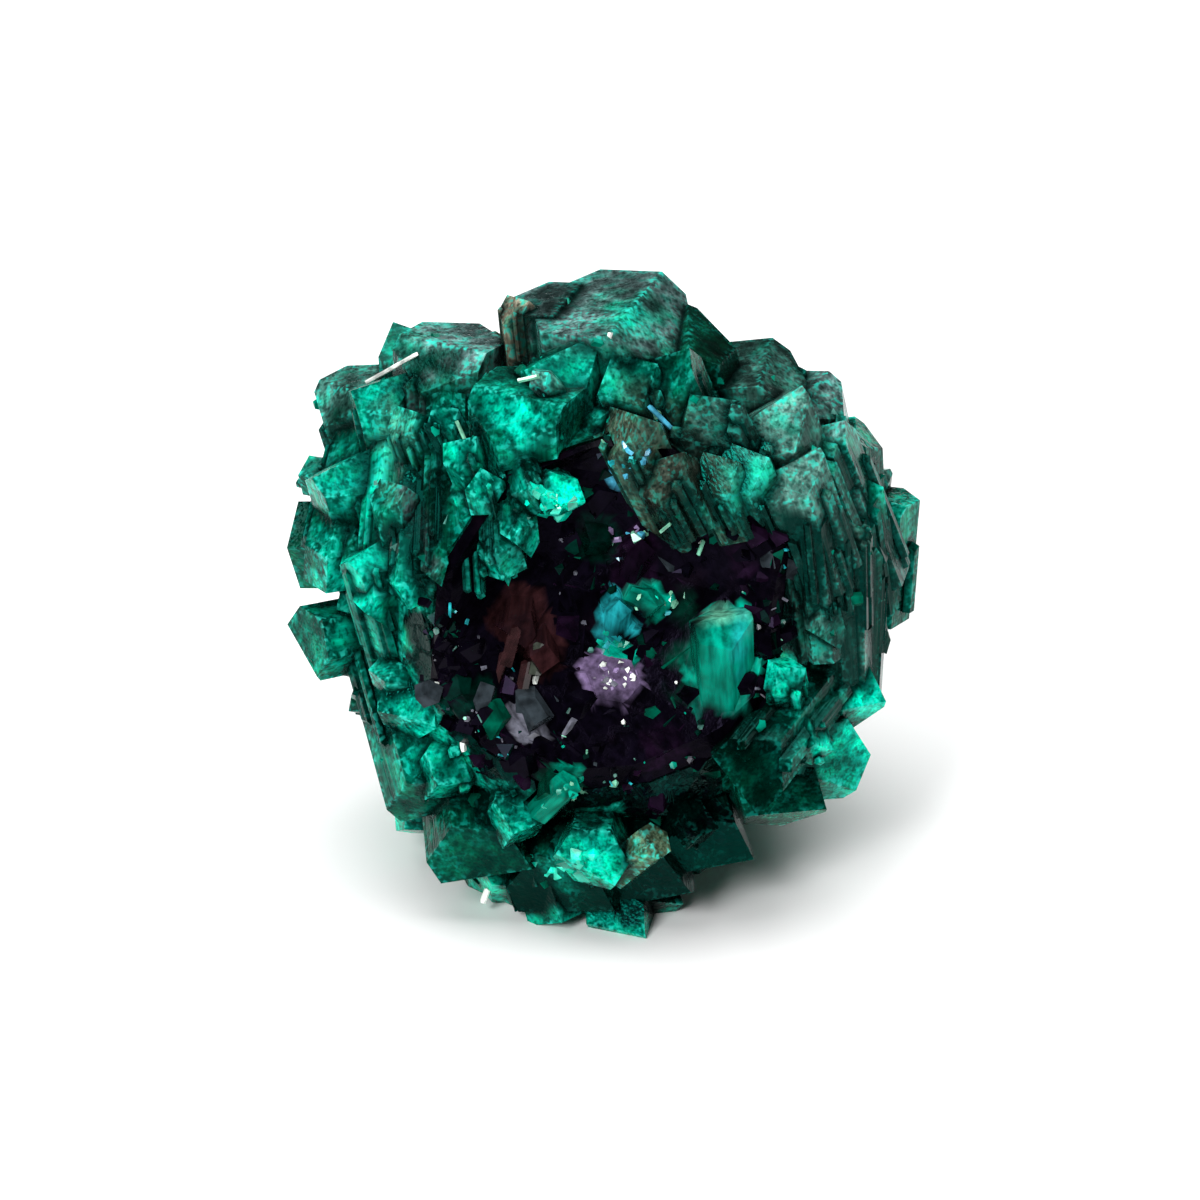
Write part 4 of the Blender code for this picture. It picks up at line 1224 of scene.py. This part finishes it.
# %% The colour of the dioptase
def dioptase_colour(tree, clouds, mottle, specks, veils, striae, cracks):
    tone = add_node(tree, "ShaderNodeAttribute", output="Color", attribute_name="tone")
    edge = add_node(tree, "ShaderNodeAttribute", output="Fac", attribute_name="edge")
    # Painted shade in the crevices between crystals comes in as an attribute
    crevice_shade = add_node(tree, "ShaderNodeAttribute", output="Fac", attribute_name="crevice_shade")

    # Green shows through the grey and brown tones here and there; the grey is a painted sheen
    layers = {FACTOR: 1.0, UNDER: tone, OVER: colour_of("30F0D8")}
    greener = add_node(tree, "ShaderNodeMix", layers, MIXED, **MULTIPLY)
    window = add_node(tree, "ShaderNodeMapRange", (mottle, 0.50, 0.64, 0.0, 0.7))
    layers = {FACTOR: window, UNDER: tone, OVER: greener}
    colour = add_node(tree, "ShaderNodeMix", layers, MIXED, **COVER)

    # Each pattern darkens and lightens the tone of the crystal
    for limits in (
        (clouds, 0.38, 0.62, 0.34, 1.34),
        (mottle, 0.40, 0.60, 0.52, 1.36),
        (veils, 0.38, 0.66, 0.60, 1.30),
        (striae, 0.36, 0.64, 0.72, 1.24),
    ):
        light = add_node(tree, "ShaderNodeMapRange", limits)
        layers = {FACTOR: 1.0, UNDER: colour, OVER: light}
        colour = add_node(tree, "ShaderNodeMix", layers, MIXED, **MULTIPLY)

    # These marks need light in the crystal, so they fade on the dark tones
    lively = add_node(tree, "ShaderNodeMapRange", (tone, 0.0, 0.24, 0.06, 1.0))
    in_cloud = add_node(tree, "ShaderNodeMapRange", (clouds, 0.44, 0.60))
    in_light = add_node(tree, "ShaderNodeMath", (in_cloud, lively), operation="MULTIPLY")
    # Painted glints: pale flecks along the edges of the lighter crystals
    edge_glint_mask = add_node(tree, "ShaderNodeMath", (edge, lively), operation="MULTIPLY")
    anywhere = 1.0

    # Cleavage specks and cracks are pale, pale flecks on the edges are painted glints, and the
    # joints between crystals are dark, with painted shade in their crevices.
    # Each: pattern with its low and high and the cover there, where it shows, and its colour.
    for limits, shown, cover in (
        ((specks, 0.55, 0.63, 0.0, 0.50), in_light, "10E4CC"),
        ((cracks, 0.0, 0.025, 0.45, 0.0), in_light, "30CAB2"),
        ((specks, 0.50, 0.62, 0.0, 0.75), edge_glint_mask, "34E4CE"),
        ((specks, 0.34, 0.44, 0.60, 0.0), anywhere, "00140F"),
        ((crevice_shade, 0.1, 0.9, 0.0, 0.95), anywhere, "000B09"),
    ):
        amount = add_node(tree, "ShaderNodeMapRange", limits)
        share = add_node(tree, "ShaderNodeMath", (amount, shown), operation="MULTIPLY")
        layers = {FACTOR: share, UNDER: colour, OVER: colour_of(cover)}
        colour = add_node(tree, "ShaderNodeMix", layers, MIXED, **COVER)
    return colour


# %% Dioptase
DIOPTASE_IOR = 1.67
GREEN_GLINT = "20FFE4"


def dioptase_finish():
    material, tree, shader = new_finish("dioptase, natural faces")
    clouds, mottle, specks, veils, striae, cracks = dioptase_patterns(tree)
    colour = dioptase_colour(tree, clouds, mottle, specks, veils, striae, cracks)
    tree.links.new(colour, shader.inputs["Base Color"])

    roughness = add_node(tree, "ShaderNodeMapRange", (clouds, 0.35, 0.65, 0.07, 0.26))
    tree.links.new(roughness, shader.inputs["Roughness"])
    relief = {"Height": striae, "Distance": 0.06 * MM, "Strength": 0.5}
    fine = add_node(tree, "ShaderNodeBump", relief)
    relief = {"Height": veils, "Distance": 0.20 * MM, "Strength": 0.4, "Normal": fine}
    tree.links.new(add_node(tree, "ShaderNodeBump", relief), shader.inputs["Normal"])

    shader.inputs["IOR"].default_value = DIOPTASE_IOR
    shader.inputs["Specular IOR Level"].default_value = 0.06
    shader.inputs["Specular Tint"].default_value = colour_of(GREEN_GLINT)
    shader.inputs["Transmission Weight"].default_value = 0.12
    depth = {"Color": colour_of("08C79B"), "Density": 260.0}
    absorbing = add_node(tree, "ShaderNodeVolumeAbsorption", depth)
    tree.links.new(absorbing, tree.nodes["Material Output"].inputs["Volume"])
    return material


dioptase = dioptase_finish()
print("finish:", dioptase.name)

# %% [markdown]
# ## The finish of the crust and of the small crystals
# The crust is taken to be the same mineral over a dark ground, so no light comes back out of it
# and it looks black with a trace of purple; its black is partly painted shade in the recess.
# Only its gloss shows. The small crystals, dark, green and pale, share one recipe: their own
# tone, a little uneven, under a smooth face.

# %% Dark druse
PURPLE_GLINT = "9C90C0"


def druse_finish():
    material, tree, shader = new_finish("dioptase druse, dark with painted shade")
    tone = add_node(tree, "ShaderNodeAttribute", output="Color", attribute_name="tone")
    grain = add_node(tree, "ShaderNodeAttribute", output="Vector", attribute_name="grain")
    place = add_node(tree, "ShaderNodeTexCoord", output="Object")

    # Veils 0.35 mm across run along its few crystals
    stretch = {"Vector": grain, "Scale": (CLOUD / 0.35, CLOUD / 0.35, CLOUD / 2.0)}
    stretched = add_node(tree, "ShaderNodeMapping", stretch)
    settings = {"Vector": stretched, "Scale": 1.0, "Detail": 5.0}
    veils = add_node(tree, "ShaderNodeTexNoise", settings)
    light = add_node(tree, "ShaderNodeMapRange", (veils, 0.34, 0.68, 0.35, 1.35))
    layers = {FACTOR: 1.0, UNDER: tone, OVER: light}
    colour = add_node(tree, "ShaderNodeMix", layers, MIXED, **MULTIPLY)

    # Purple-brown spots of 1.4 mm lie on it
    settings = {"Vector": place, "Scale": CLOUD / (1.4 * MM), "Detail": 5.0}
    spots = add_node(tree, "ShaderNodeTexNoise", settings)
    purple_spot_share = add_node(tree, "ShaderNodeMapRange", (spots, 0.56, 0.74, 0.0, 0.5))
    layers = {FACTOR: purple_spot_share, UNDER: colour, OVER: colour_of("140B15")}
    colour = add_node(tree, "ShaderNodeMix", layers, MIXED, **COVER)
    tree.links.new(colour, shader.inputs["Base Color"])

    relief = {"Height": veils, "Distance": 0.12 * MM, "Strength": 0.5}
    tree.links.new(add_node(tree, "ShaderNodeBump", relief), shader.inputs["Normal"])
    shader.inputs["Roughness"].default_value = 0.22
    shader.inputs["IOR"].default_value = 1.5
    shader.inputs["Specular IOR Level"].default_value = 0.05
    shader.inputs["Specular Tint"].default_value = colour_of(PURPLE_GLINT)
    return material


# %% Small crystals
def crystal_finish(name, ior, roughness, transmission, gloss, tint):
    """A small crystal: its tone, a little uneven, under a smooth face."""
    material, tree, shader = new_finish(name)
    tone = add_node(tree, "ShaderNodeAttribute", output="Color", attribute_name="tone")
    place = add_node(tree, "ShaderNodeTexCoord", output="Object")
    settings = {"Vector": place, "Scale": CLOUD / (0.66 * MM), "Detail": 4.0}
    clouds = add_node(tree, "ShaderNodeTexNoise", settings)
    light = add_node(tree, "ShaderNodeMapRange", (clouds, 0.38, 0.64, 0.45, 1.5))
    layers = {FACTOR: 1.0, UNDER: tone, OVER: light}
    colour = add_node(tree, "ShaderNodeMix", layers, MIXED, **MULTIPLY)
    tree.links.new(colour, shader.inputs["Base Color"])
    for socket, value in (
        ("Roughness", roughness),
        ("IOR", ior),
        ("Specular IOR Level", gloss),
        ("Specular Tint", colour_of(tint)),
        ("Transmission Weight", transmission),
    ):
        shader.inputs[socket].default_value = value
    return material


dark_finish = druse_finish()
crust_finish = crystal_finish("druse crystals, polished faces", 1.5, 0.12, 0.0, 0.06, PURPLE_GLINT)
grain_finish = crystal_finish("small dioptase crystals", DIOPTASE_IOR, 0.2, 0.1, 0.14, GREEN_GLINT)
# The bright chips are partly painted glints
chip_finish = crystal_finish("bright cleavage chips and painted glints", 1.55, 0.15, 0.0, 0.5, "FFFFFF")
for piece, finish in (
    (cluster, dioptase),
    (druse, dark_finish),
    (crust_piece, crust_finish),
    (grain_piece, grain_finish),
    (bright_piece, chip_finish),
):
    piece.data.materials.clear()
    piece.data.materials.append(finish)
    print(piece.name, "is finished as", finish.name)

# %% [markdown]
# ## Studio
# The photograph has a plain white ground and soft light from above. A large soft box above lights
# the top faces, whose grey sheen is also painted into the grey tone, a smaller one at the upper
# left models the crystals, and a dim room keeps the hollow dark.

# %% Floor
deselect_all()
bpy.ops.mesh.primitive_plane_add(size=3.0)
floor = bpy.context.active_object
floor.name = "floor"
# Matt white paper, which takes soft shadows and hardly reflects
floor_material, _, floor_shader = new_finish("white paper")
floor_shader.inputs["Base Color"].default_value = (0.92, 0.92, 0.92, 1.0)
floor_shader.inputs["Roughness"].default_value = 0.9
floor_shader.inputs["Specular IOR Level"].default_value = 0.1
floor.data.materials.append(floor_material)
floor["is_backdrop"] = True


# %% Lights
def soft_box(name, place, size, watts):
    light = bpy.data.lights.new(name, "AREA")
    light.shape = "SQUARE"
    light.size = size
    light.energy = watts
    obj = bpy.data.objects.new(name, light)
    obj.location = place
    obj.rotation_euler = (obj.location - MIDDLE * MM).to_track_quat("Z", "Y").to_euler()
    bpy.context.scene.collection.objects.link(obj)


soft_box("top soft box", (0.0, 0.15, 0.85), 1.0, 12.0)
soft_box("left soft box", (-0.35, -0.60, 0.50), 0.30, 6.0)

world = bpy.data.worlds.new("dim room")
world.use_nodes = True
world.node_tree.nodes["Background"].inputs["Color"].default_value = (1.0, 1.0, 1.0, 1.0)
world.node_tree.nodes["Background"].inputs["Strength"].default_value = 0.07
bpy.context.scene.world = world
bpy.context.scene.view_settings.view_transform = "Standard"

# %% [markdown]
# ## Pieces on the body
# Each piece rides on the specimen's one body. The cluster and the druse stand for the two solids.

# %% Attach each piece to the body and hide the solids
for piece in (cluster, druse, crust_piece, grain_piece, bright_piece):
    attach(piece, "root")
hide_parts("dioptase_cluster")
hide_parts("dark_druse")

# %% Sizes
visual_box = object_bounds()
plain = {"cad": [list(c) for c in cad_box], "visual": [list(c) for c in visual_box]}
print("visual box:", plain["visual"])
